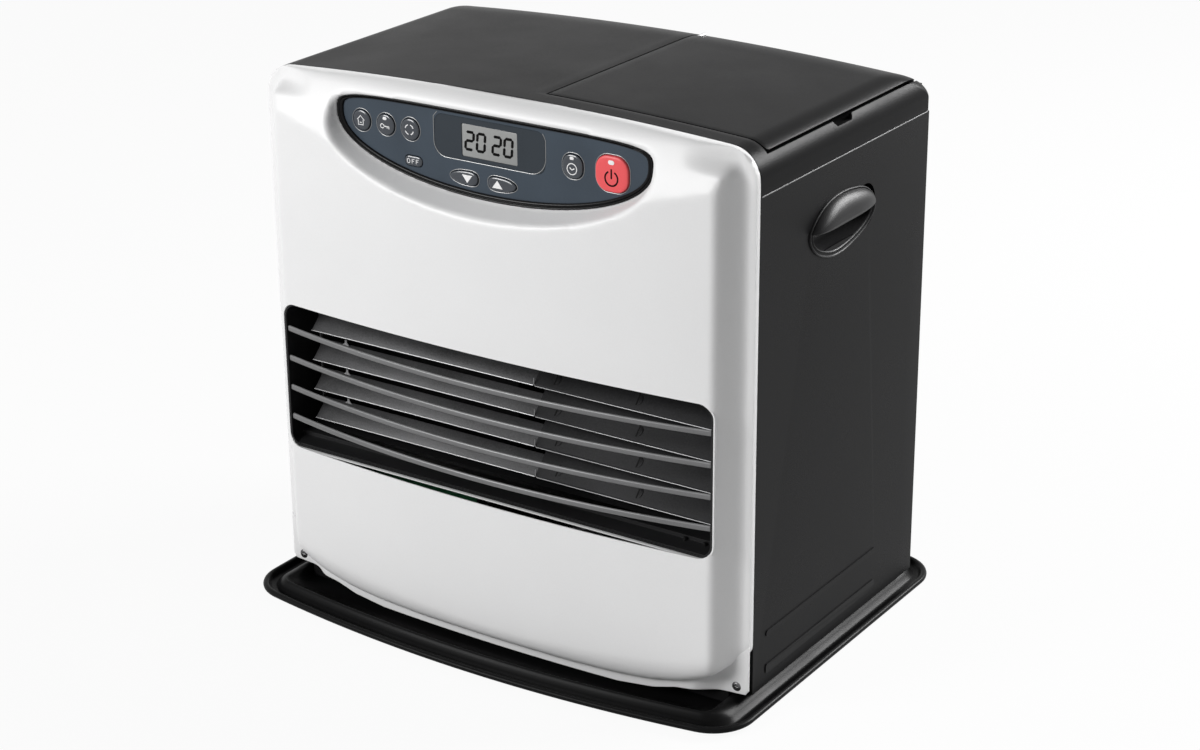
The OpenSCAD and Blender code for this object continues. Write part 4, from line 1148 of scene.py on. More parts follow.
@dataclass
class Top:
    """The black top cover and the tank lid.

    Its rows along the depth are plain up to the first number of rows, ease to the
    second, go round the rear edge to the third and down the rear to the fourth.
    """

    depth: float = 267.0
    skirt_z: float = 424.2
    rear_deep: float = 52.0
    rear_high: float = 20.0
    least: float = 2.5
    wall: float = 2.4
    left: float = 30.6
    right: float = 222.4
    front: float = 20.4
    gap: float = 1.8
    notch: Point2 = (115.0, 146.0)
    rows: tuple[float, ...] = (212.0, 217.0, 242.0, 245.0)

    def point(self, x: float, z: float, normal: Point2, v: float) -> Point3:
        """A point of the top's skin.

        Args:
            x: Place across on the outline.
            z: Height on the outline.
            normal: The outline's outward normal there.
            v: The row.

        Returns:
            The point.
        """
        plain, start, end, foot = self.rows
        share = max(normal[1], 0) ** 1.5
        deep = self.least + (self.rear_deep - self.least) * share
        high = self.least + (self.rear_high - self.least) * share
        if v <= plain:
            return x, v, z
        if v <= start:
            return x, plain + (self.depth - deep - plain) * (v - plain) / (start - plain), z
        a = math.radians(90 * (min(v, end) - start) / (end - start))
        inset = high * (1 - math.cos(a))
        x, z = x - normal[0] * inset, z - normal[1] * inset
        down = max(v - end, 0) / (foot - end)
        return x, self.depth - deep + deep * math.sin(a), z + (self.skirt_z - z) * down

    def skin(self, line: list[Station], rows: list[float]) -> Obj:
        """Lays a grid over part of the top.

        Args:
            line: Stations across.
            rows: Rows along the depth.

        Returns:
            The open skin.
        """
        columns, count = len(line) - 1, len(rows) - 1
        return sheet_grid(columns, count, lambda s, t: self.point(*line[round(s * columns)], rows[round(t * count)]))

    def station(self, x: float) -> Station:
        """A station on the crown."""
        a = math.asin(x / OUTLINE.crown_r)
        return x, OUTLINE.crown(x), (math.sin(a), math.cos(a))

    def corner(self, side: int, angle: float) -> Station:
        """A station on a corner arc, its angle counted from the side.

        Args:
            side: 1 at the right, -1 at the left.
            angle: The angle in degrees.

        Returns:
            The station.
        """
        a = math.radians(angle)
        normal = (side * math.cos(a), math.sin(a))
        return (side * OUTLINE.crown_x + normal[0] * OUTLINE.corner_r,
                OUTLINE.corner_z + normal[1] * OUTLINE.corner_r, normal)

    def angle_at(self, x: float) -> float:
        """Angle from the side at which a corner arc reaches a place across."""
        return math.degrees(math.acos((x - OUTLINE.crown_x) / OUTLINE.corner_r))

    def shoulder(self, end: float) -> list[Station]:
        """Stations on the right corner arc, from the crown to an angle."""
        start = 90 - OUTLINE.crown_a
        return [self.corner(1, start + (end - start) * i / 10) for i in range(11)]

    def along(self, front: float, count: int) -> list[float]:
        """Rows from a front edge to the end of the rear edge.

        Args:
            front: The front edge.
            count: Steps on the plain part.

        Returns:
            The rows.
        """
        plain, start, end, _ = self.rows
        return [front + (plain - front) * i / count for i in range(count + 1)] + [
            start + (end - start) * i / 18 for i in range(19)]

    def cover(self) -> Obj:
        """The cover round the lid's bay.

        Returns:
            The cover.
        """
        half, top_a, rail_a = OUTLINE.half_w, 90 - OUTLINE.crown_a, self.angle_at(self.right + self.gap)
        start, rim = self.left - self.gap, self.front - self.gap
        line = [(-half, self.skirt_z, (-1.0, 0.0)), (-half, 430.0, (-1.0, 0.0))]
        line += [self.corner(-1, top_a * i / 14) for i in range(15)]
        line += [self.station(-204 + (start + 204) * i / 24) for i in range(25)]
        first = len(line) - 1
        line += [self.station(start + (205 - start) * i / 18) for i in range(1, 18)]
        line += self.shoulder(rail_a)
        last = len(line) - 1
        line += [self.corner(1, rail_a * (1 - i / 14)) for i in range(1, 15)]
        line += [(half, 430.0, (1.0, 0.0)), (half, self.skirt_z, (1.0, 0.0))]
        before = [0, 1.5, 5, 10, 15]
        rows = before + self.along(rim, 36) + [self.rows[-1]]
        obj = self.skin(line, rows)
        columns, lower = len(line), len(rows) - 2
        for column in range(first + 1, last):
            obj.data.vertices[lower * columns + column].co.z -= self.wall

        def over_bay(face: bmesh.types.BMFace) -> bool:
            """Tells whether a face lies over the bay.

            Args:
                face: The face.

            Returns:
                True where it does.
            """
            places = [divmod(vertex.index, columns) for vertex in face.verts]
            inside = all(first <= column <= last and row >= len(before) for row, column in places)
            return inside and min(places)[0] < lower

        edit_some(obj, "faces", over_bay)
        bpy.ops.mesh.delete(type="FACE")
        leave_edit()
        modify(obj, "SOLIDIFY", thickness=self.wall, offset=-1, use_even_offset=True)
        recalculate(obj)
        cut(obj, self.scoop())
        bevel(obj, 0.7, 3, 50)
        return obj

    def scoop(self) -> Obj:
        """The tool that opens the finger notch with sloping ends.

        Returns:
            The tool.
        """
        low, high = self.notch
        steps = ((0.0, 470.0), (0.0, 454.0), (1.6, 450.0), (4.5, 447.2))
        return loft([[(x, y, z) for x, y in rounded_rect(229.0, (low + high) / 2, 22, high - low - 2 * ease, 5, 6)]
                     for ease, z in steps])

    def bay(self) -> Obj:
        """The shelf and walls of the bay under the lid.

        Returns:
            The shelf with its walls.
        """
        low, shelf = 443.6, 446.4
        tank = rounded_rect(120, 145, 148, 198, 10)
        left, right, front, rear = 26.8, 223.8, 16.6, 264.5
        rim = resample([(left, front), (right, front), (right, rear), (left, rear)], len(tank))
        start = min(range(len(rim)), key=lambda i: math.dist(rim[i], tank[0]))
        rim = rim[start:] + rim[:start]
        rings = [[(x, y, z) for x, y in ring] for ring, z in ((rim, shelf), (tank, shelf), (tank, low), (rim, low))]
        left_x, right_x, front_y = self.left - self.gap, self.right + self.gap, self.front - self.gap
        top = OUTLINE.corner_z + math.sqrt(OUTLINE.corner_r**2 - (right_x - OUTLINE.crown_x) ** 2) - 1.6
        steps = ((front_y - 2, 212, 444, 461), (212, 232, 444, 461.4), (232, 244, 444, 459.6), (244, 252, 442, 457),
                 (252, 259, 440, 453), (259, 263, 440, 449))
        walls = [((left_x - 2, start_y, foot), (left_x, end_y, head)) for start_y, end_y, foot, head in steps]
        walls += [((left_x, front_y - 2, 444), (right_x - 22, front_y, 459.6)),
                  ((right_x - 22, front_y - 2, 444), (right_x, front_y, top)),
                  ((right_x, front_y - 2, 444), (right_x + 1.2, self.notch[0], top - 1.2)),
                  ((right_x, self.notch[1], 444), (right_x + 1.2, 236, top - 1.2)),
                  ((right_x - 1, self.notch[0] - 2, 444), (226.6, self.notch[1] + 2, 447.0))]
        return join([loft(rings, caps=False, closed=True)] + [
            prism([(ax, ay), (bx, ay), (bx, by), (ax, by)], Axis.Z, az, bz) for (ax, ay, az), (bx, by, bz) in walls])

    def lid(self) -> Obj:
        """The lid's plate, with its rounded right and rear sides.

        Returns:
            The lid.
        """
        line = [self.station(self.left + (204.4 - self.left) * i / 22) for i in range(23)]
        obj = self.skin(line + self.shoulder(self.angle_at(self.right)), self.along(self.front, 34))
        modify(obj, "SOLIDIFY", thickness=self.wall, offset=-1, use_even_offset=True)
        recalculate(obj)
        x, y = self.right - 4, self.front + 4
        outline = [(x, y - 6), (x + 7, y - 6), (x + 7, y), *arc((x, y), 4, 0, -90, 8)]
        cut(obj, prism(outline, Axis.Z, 440, 470))
        bevel(obj, 0.8, 3, 50)
        return obj

    def seam_lines(self) -> Obj:
        """A thin lighter grey line where the side panels meet the cover: the folded edge, with its highlight painted in
        colour.

        Returns:
            Both edges.
        """
        low = self.skirt_z - 0.2
        right = tube([(229.9, 1.5, low), (229.9, 264.5, low)], 0.5, False, 3)
        return join([right, mirrored(right)])

    def make(self) -> None:
        """Builds the top."""
        deliver(self.cover(), "top_cover_shell", Finishes.TOP, ("top_cover",), angle=40)
        deliver(self.bay(), "bay_shelf", Finishes.TOP)
        # The seam lines are lighter grey: painted highlight.
        deliver(self.seam_lines(), "cover_seam_lines", Finishes.SEAM)
        deliver(self.lid(), "tank_lid_shell", Finishes.TOP, ("tank_lid",), "lid", angle=40)


@dataclass
class Tray:
    """The enamelled floor tray."""

    width: float = 484.0
    depth: float = 378.0
    corner_r: float = 38.0
    front_r: float = 1250.0
    front_room: float = 73.0
    floor_z: float = 1.2
    slope_h: float = 12.3

    def outline(self, d: float, r: float, side: float, rear: float) -> list[Point2]:
        """The tray's outline inside its edge, in the seam's frame.

        Args:
            d: How far it lies inside the front edge.
            r: Corner radius.
            side: How far it lies inside the sides.
            rear: How far it lies inside the rear edge.

        Returns:
            The outline, anticlockwise from the rear right corner.
        """
        hx = self.width / 2 - side - r
        front_r = self.front_r - d
        a = math.degrees(math.asin(hx / (front_r - r)))
        cy = -self.depth / 2 + self.front_r
        front = cy - (front_r - r) * math.cos(math.radians(a))
        back = self.depth / 2 - rear - r
        points = arc((hx, back), r, 0, 90, 14)
        points += [(hx - 2 * hx * i / 24, back + r) for i in range(1, 24)]
        points += arc((-hx, back), r, 90, 180, 14)
        points += [(-hx - r, back + (front - back) * i / 20) for i in range(1, 20)]
        points += arc((-hx, front), r, 180, 270 - a, 14)
        points += arc((0, cy), front_r, 270 - a, 270 + a, 48)[1:-1]
        points += arc((hx, front), r, 270 + a, 360, 14)
        points += [(hx + r, front + (back - front) * i / 20) for i in range(1, 20)]
        shift = self.depth / 2 - self.front_room
        return [(x, y + shift) for x, y in points]

    def ring(self, d: float, z: float) -> list[Point3]:
        """A level ring inside the edge, drawn closer to it along the front."""
        return [(x, y, z) for x, y in self.outline(min(d, 11.0) + 0.36 * max(d - 11.0, 0), self.corner_r - d, d, d)]

    def inner(self, t: float) -> list[Point3]:
        """A ring of the slope inside the crest, from 0 at the crest to 1 at the floor.

        Args:
            t: How far down the slope it lies.

        Returns:
            The ring.
        """
        first = self.outline(17.7, 8.6, 29.4, 29.4)
        last = [(x * (1 - 0.15 * smoothstep(15, -15, y)), y) for x, y in self.outline(42.0, 16.0, 31.0, 31.0)]
        z = self.floor_z + self.slope_h * (1 - math.sin(math.pi / 2 * t)) ** 1.1
        return [(ax + (bx - ax) * t, ay + (by - ay) * t, z) for (ax, ay), (bx, by) in zip(first, last)]

    def make(self) -> None:
        """Builds the tray."""
        section = [(1.1, 4.2), (0.25, 5.2), (0.0, 6.6), (0.5, 7.9), (1.6, 8.75), (3.0, 9.0), (4.4, 8.6), (5.4, 7.4),
                   (6.2, 5.6), (7.4, 4.1), (9.2, 3.4), (11.6, 3.3), (13.6, 4.4), (16.2, 7.6), (19.4, 10.7),
                   (22.6, 12.8), (25.4, 13.8), (27.4, 14.0), (28.6, 13.9), (29.2, 13.6)]
        obj = loft([self.ring(d, z) for d, z in section] + [self.inner(i / 7) for i in range(8)], caps=False)
        fill_end(obj, Axis.Z, 2)
        if max(obj.data.polygons, key=lambda p: p.area).normal.z < 0:
            edit_all(obj)
            bpy.ops.mesh.flip_normals()
            leave_edit()
        modify(obj, "SOLIDIFY", thickness=1.1, offset=-1)
        deliver(obj, "floor_tray_shell", Finishes.TRAY, ("floor_tray",), angle=50)


# Controls


class Symbol(Enum):
    """What is printed on a key, by the name of the method that draws it."""

    HOUSE = "house"
    LOCK = "lock"
    CYCLE = "cycle"
    OFF = "off"
    DOWN = "down"
    UP = "up"
    CLOCK = "clock"
    POWER = "power"


@dataclass
class Key:
    """One key of the control panel, with its lamp's place and size where it has one."""

    body: str
    x: float
    z: float
    w: float
    h: float
    r: float
    symbol: Symbol
    finish: Finish = Finishes.KEY
    top: float = -15.6
    lamp: Point2 | None = None

    def outline(self, grow: float) -> list[Point2]:
        """The key's outline, evenly spaced.

        Args:
            grow: How far it is grown.

        Returns:
            The points.
        """
        if self.symbol not in (Symbol.DOWN, Symbol.UP):
            raw = rounded_rect(self.x, self.z, self.w + 2 * grow, self.h + 2 * grow, self.r + grow, 16)
            return resample(raw, 72)
        side = -1 if self.symbol is Symbol.DOWN else 1
        raw = []
        for i in range(720):
            t = 2 * math.pi * i / 720
            c, s = math.cos(t), math.sin(t)
            taper = 1 - 0.42 * (0.5 + 0.5 * c) ** 1.4
            raw.append((self.x + side * (self.w / 2 + grow) * math.copysign(abs(c) ** 0.72, c),
                        self.z + (self.h / 2 + grow) * math.copysign(abs(s) ** 0.8, s) * taper))
        return resample(raw, 72)

    def cap(self) -> Obj:
        """The domed cap with its flange behind the overlay.

        Returns:
            The cap.
        """
        most = 0.6 - min(self.w, self.h) / 2
        section = ((0.9, -9.4), (0.9, -11.1), (0.0, -11.1), (0.0, self.top + 0.9), (-0.25, self.top + 0.35),
                   (-0.8, self.top), (-2.2, self.top - 0.18), (-4.2, self.top - 0.26))
        return loft([[(x, y, z) for x, z in self.outline(max(grow, most))] for grow, y in section])

    def make(self) -> None:
        """Builds the key, its print and its lamp."""
        name = self.body + "_key"
        deliver(self.cap(), name + "_cap", self.finish, (name,), self.body, angle=40)
        marks = getattr(PrintSet(self.x, self.z, self.top - 0.24), self.symbol.value)()
        ink = Finishes.SEGMENT if self.symbol is Symbol.POWER else Finishes.PRINT
        deliver(join(marks), name + "_print", ink, body=self.body)
        if self.lamp:
            offset, size = self.lamp
            outline = rounded_rect(self.x, self.z + offset, size * 1.6, size, size / 2 - 0.05)
            lamp = prism(outline, Axis.Y, self.top - 0.5, self.top + 0.3)
            bevel(lamp, 0.15)
            deliver(lamp, name + "_lamp", Finishes.PRINT, body=self.body)


@dataclass
class PrintSet:
    """Printed symbols, drawn as thin raised shapes."""

    x: float
    z: float
    y: float
    thick: float = 0.14

    def plate(self, outline: list[Point2]) -> Obj:
        """A thin flat shape."""
        return prism([(self.x + a, self.z + b) for a, b in outline], Axis.Y, self.y - self.thick, self.y + 0.1)

    def stroke(self, points: list[Point2], width: float, closed: bool = False) -> Obj:
        """A thin line along points.

        Args:
            points: The path, from the symbol's middle.
            width: Width of the line.
            closed: Whether the path closes.

        Returns:
            The line.
        """
        left: list[Point2] = []
        right: list[Point2] = []
        count = len(points)
        for i, (a, b) in enumerate(points):
            before = points[i - 1] if i or closed else points[i]
            after = points[(i + 1) % count] if i < count - 1 or closed else points[i]
            dx, dz = after[0] - before[0], after[1] - before[1]
            size = math.hypot(dx, dz) or 1.0
            left.append((a - dz / size * width / 2, b + dx / size * width / 2))
            right.append((a + dz / size * width / 2, b - dx / size * width / 2))
        if not closed:
            return self.plate(left + right[::-1])
        low, high = self.y - self.thick, self.y + 0.1
        return loft([[(self.x + a, y, self.z + b) for a, b in line]
                     for line, y in ((left, low), (right, low), (right, high), (left, high))], caps=False, closed=True)

    def strokes(self, width: float, *paths: list[Point2]) -> list[Obj]:
        """Open strokes of one width."""
        return [self.stroke(path, width) for path in paths]

    def house(self) -> list[Obj]:
        """A small house for the saving mode."""
        house = [(-3.6, 0.4), (0, 4.0), (3.6, 0.4), (2.4, 0.4), (2.4, -3.4), (-2.4, -3.4), (-2.4, 0.4)]
        return [self.stroke(house, 0.7, True), self.stroke([(-0.9, -1.6), (0.9, -1.6)], 0.7)]

    def lock(self) -> list[Obj]:
        """A key for the child lock."""
        return self.strokes(0.7, arc((-2.6, -1.0), 1.7, 0, 330, 20)) + self.strokes(
            0.8, [(-0.9, -1.0), (4.4, -1.0)], [(3.9, -1.0), (3.9, -2.8)], [(2.2, -1.0), (2.2, -2.4)])

    def cycle(self) -> list[Obj]:
        """A broken ring for the burn-off."""
        return self.strokes(0.8, *[arc((0, 0), 4.0, start, start + 56, 10) for start in (20, 110, 200, 290)])

    def off(self) -> list[Obj]:
        """The word on a plain switch.

        Returns:
            The strokes.
        """
        made = [self.stroke(rounded_rect(-4.3, 0, 2.4, 3.4, 1.1, 5), 0.5, True)]
        for x in (0.2, 4.2):
            made += self.strokes(0.5, [(x - 1.0, -1.8), (x - 1.0, 1.8)], [(x - 1.0, 1.6), (x + 1.2, 1.6)],
                                 [(x - 1.0, 0.1), (x + 0.8, 0.1)])
        return made

    def down(self) -> list[Obj]:
        """A filled triangle that points down."""
        return [self.plate([(-1.2, 2.9), (8.6, 2.9), (3.7, -3.4)])]

    def up(self) -> list[Obj]:
        """A filled triangle that points up."""
        return [self.plate([(-8.6, -3.0), (1.2, -3.0), (-3.7, 3.3)])]

    def clock(self) -> list[Obj]:
        """A clock's face with two hands."""
        ring = arc((0, -1.8), 4.3, 0, 360, 32)[:-1]
        return [self.stroke(ring, 0.7, True), self.stroke([(-1.9, -0.8), (-0.1, -2.5), (2.2, -1.2)], 0.9)]

    def power(self) -> list[Obj]:
        """A broken ring with a stroke."""
        return self.strokes(1.3, arc((0, -3.2), 5.6, 118, 422, 40), [(0, -3.4), (0, 4.2)])


@dataclass
class ControlPanel:
    """Bezel, overlay, display and keys."""

    plane: float = -14.0
    display: tuple[float, float, float, float] = (-1.5, 430.0, 52.0, 26.0)
    glass: tuple[float, float, float, float] = (-1.5, 431.0, 104.0, 34.0)

    def keys(self) -> list[Key]:
        """All keys with their places.

        Returns:
            The keys.
        """
        return [
            Key("eco", -124.5, 430.5, 17, 17, 8.4, Symbol.HOUSE),
            Key("lock", -100.5, 430.5, 17, 17, 8.4, Symbol.LOCK, lamp=(5.3, 2.4)),
            Key("clean", -76.5, 430.5, 17, 17.5, 8.4, Symbol.CYCLE),
            Key("hours", -74.5, 405, 17, 8.5, 4, Symbol.OFF, top=-14.9),
            Key("down", -25.5, 400, 26, 13, 6.4, Symbol.DOWN),
            Key("up", 10.5, 400, 26, 13, 6.4, Symbol.UP),
            Key("timer", 76, 426, 18, 19, 8, Symbol.CLOCK, lamp=(6.6, 2.4)),
            Key("power", 111.5, 426, 29, 28, 11, Symbol.POWER, Finishes.POWER, -16.0, (9.2, 3.4)),
        ]

    def plate(self, outline: list[Point2], front: float, back: float, holes: list[list[Point2]], edge: float) -> Obj:
        """A flat plate with openings and softened edges.

        Args:
            outline: The plate's outline.
            front: How far its front lies behind the panel's plane.
            back: How far its back lies behind that plane.
            holes: The openings' outlines.
            edge: Width of the softened edges.

        Returns:
            The plate.
        """
        plate = prism(outline, Axis.Y, self.plane + front, self.plane + back)
        for hole in holes:
            cut(plate, prism(hole, Axis.Y, -20, -5))
        bevel(plate, edge, 1, 50)
        return plate

    def bezel(self) -> Obj:
        """The glossy ring with its double ridge.

        Returns:
            The ring.
        """
        section = [(0.0, -11.6), (0.0, -15.7), (-0.35, -16.3), (-0.9, -16.45), (-1.5, -16.2), (-1.85, -15.7),
                   (-2.2, -15.5), (-2.6, -15.8), (-3.1, -16.1), (-3.9, -16.0), (-4.7, -15.4), (-5.0, -14.5),
                   (-5.0, -11.6)]
        return loft([[(x, y, z) for x, z in LENS.points(g, 200)] for g, y in section], caps=False, closed=True)

    def overlay(self, keys: list[Key]) -> Obj:
        """The slate plate with the keys' and the display's openings."""
        holes = [key.outline(0.4) for key in keys] + [rounded_rect(*self.glass, 8)]
        return self.plate(LENS.points(-4.9, 120), 0.0, 2.4, holes, 0.18)

    def lines(self, keys: list[Key]) -> Obj:
        """The thin silver lines round the keys and the display.

        Args:
            keys: The keys.

        Returns:
            The lines.
        """
        y = self.plane - 0.02
        made = [tube([(x, y, z) for x, z in key.outline(1.0)], 0.28, True, 2) for key in keys
                if key.symbol is not Symbol.OFF]
        cx, cz, w, h = self.glass
        left, right, top, low = cx - w / 2, cx + w / 2, cz + h / 2, cz - h / 2
        path = [(left + 3, top + 1.0), (left - 0.6, top - 3)] + arc((left + 11.4, low + 11.4), 12, 180, 270, 12)
        path += arc((right - 13.4, low + 13.4), 14, 270, 360, 12) + [(right + 0.6, top - 6), (right - 2, top - 1.2)]
        made.append(tube([(x, y, z) for x, z in resample(path, 90, False)], 0.32, False, 2))
        return join(made)

    def surround(self) -> Obj:
        """The dark film round the display.

        Returns:
            The film.
        """
        cx, cz, w, h = self.glass
        hole = rounded_rect(*self.display, 1.2)
        return self.plate(rounded_rect(cx, cz, w - 0.1, h - 0.1, 8), 0.05, 2.3, [hole], 0.25)

    def digits(self) -> Obj:
        """Seven-segment figures on the display.

        Returns:
            The figures.
        """
        lit = {"2": "abged", "0": "abcdef"}
        strokes = {"a": ((0, 1), (1, 1)), "b": ((1, 1), (1, 0.5)), "c": ((1, 0.5), (1, 0)), "d": ((0, 0), (1, 0)),
                   "e": ((0, 0), (0, 0.5)), "f": ((0, 0.5), (0, 1)), "g": ((0, 0.5), (1, 0.5))}
        w, h, half = 7.2, 14.0, 1.1
        made = []
        cx, cz = self.display[:2]
        for start, figure in ((-22.4, "2"), (-11.6, "0"), (3.2, "2"), (14.0, "0")):
            for part in lit[figure]:
                (ax, az), (bx, bz) = strokes[part]
                x0, x1 = cx + start + min(ax, bx) * w, cx + start + max(ax, bx) * w
                z0, z1 = cz - h / 2 + min(az, bz) * h, cz - h / 2 + max(az, bz) * h
                if ax != bx:
                    shape = [(x0 + 0.2, z0), (x0 + 1.2, z0 + half), (x1 - 1.2, z0 + half), (x1 - 0.2, z0),
                             (x1 - 1.2, z0 - half), (x0 + 1.2, z0 - half)]
                else:
                    shape = [(x0, z0 + 0.2), (x0 + half, z0 + 1.2), (x0 + half, z1 - 1.2), (x0, z1 - 0.2),
                             (x0 - half, z1 - 1.2), (x0 - half, z0 + 1.2)]
                slant = [(x + (z - cz) * 0.08, z) for x, z in shape]
                made.append(prism(slant, Axis.Y, -13.62, -13.2))
        return join(made)

    def window(self) -> Obj:
        """The display's pane with its softened rim.

        Returns:
            The pane.
        """
        dx, dz, dw, dh = self.display
        pane = prism(rounded_rect(dx, dz, dw - 0.1, dh - 0.1, 1.2), Axis.Y, -13.4, -4.2)
        bevel(pane, 0.2, 2, 50)
        return pane

    def make(self) -> None:
        """Builds the control panel."""
        keys = self.keys()
        deliver(self.bezel(), "control_bezel_ring", Finishes.BEZEL, ("control_bezel",), angle=60)
        deliver(self.overlay(keys), "control_overlay_plate", Finishes.OVERLAY, ("control_overlay",))
        deliver(self.surround(), "display_surround", Finishes.SURROUND, ("display_frame",))
        deliver(self.window(), "display_pane", Finishes.GLASS, ("display_window",))
        deliver(self.digits(), "display_digits", Finishes.SEGMENT)
        deliver(self.lines(keys), "silver_lines", Finishes.SILVER)
        for key in keys:
            key.make()


# Handles


@dataclass
class Handle:
    """A side handle: a hood over a finger cup."""

    rim: tuple[Point2, ...] = (
        (178, 370), (175, 380), (160, 391), (136, 395.5), (114, 396), (96, 392.5), (81, 384), (73, 375), (73, 368),
        (79, 359.5), (87, 353.5), (103, 347.5), (119, 345.5), (141, 349), (162, 355.5), (174, 363))
    middle: Point2 = (125.5, 371.0)
    half: Point2 = (52.0, 25.0)
    brow: float = 374.0
    reach: float = 9.2

    def outline(self, grow: float) -> list[Point2]:
        """The rim's outline as (Y, Z), grown or shrunk.

        Args:
            grow: How far it is grown.

        Returns:
            The outline.
        """
        (cy, cz), (hy, hz) = self.middle, self.half
        return [(cy + (y - cy) * (1 + grow / hy), cz + (z - cz) * (1 + grow / hz))
                for y, z in rounded_path(list(self.rim), 144)]

    def cup(self) -> Obj:
        """The double lip and the cup behind it.

        Returns:
            The cup.
        """
        section = [(0.0, 229.3), (0.0, 230.8), (-0.4, 231.4), (-1.0, 231.5), (-1.6, 231.0), (-2.0, 230.0),
                   (-3.4, 229.8), (-3.8, 230.5), (-4.4, 230.9), (-5.0, 230.5), (-5.4, 229.2), (-6.0, 224.0),
                   (-7.5, 214.0), (-11.0, 208.6), (-16.0, 207.6)]
        obj = loft([[(x, y, z) for y, z in self.outline(g)] for g, x in section], caps=False)
        fill_end(obj, Axis.X, 209)
        return obj

    def hood(self) -> Obj:
        """The dome over the upper part, with its straight lower edge.

        Returns:
            The dome.
        """
        foot = self.brow
        crest = tuple(sorted([p for p in self.outline(-1.6) if p[1] >= foot - 0.5], key=lambda p: p[0]))
        first, last = crest[0][0], crest[-1][0]

        def shape(s: float, t: float) -> Point3:
            """A point of the dome.

            Args:
                s: Share along, from the front.
                t: Share of the height, from the brow.

            Returns:
                The point.
            """
            y = first + (last - first) * (0.5 - 0.5 * math.cos(math.pi * s))
            u = (y - first) / (last - first)
            top = max(between(crest, y), foot + 0.3)
            across = max(1 - abs(2 * u - 1) ** (6.0 if u < 0.5 else 2.8), 0.0) ** 0.5
            down = math.sin(math.pi / 2 * min((1 - t) * 1.3, 1.0)) ** 0.62
            curl = smoothstep(0.12, 0.0, t)
            return 230.4 + (self.reach - curl) * across * down, y, foot + (top - foot) * (1 - (1 - t) ** 1.15)

        obj = sheet_grid(64, 30, shape)
        modify(obj, "SOLIDIFY", thickness=1.6, offset=-1)
        recalculate(obj)
        return obj

    def make(self) -> None:
        """Builds both handles."""
        right = [self.cup(), self.hood()]
        left = [mirrored(piece) for piece in right]
        for side, pieces in (("right", right), ("left", left)):
            deliver(join(pieces), side + "_handle_grip", Finishes.GRIP, (side + "_handle",), angle=50)


# Outlet


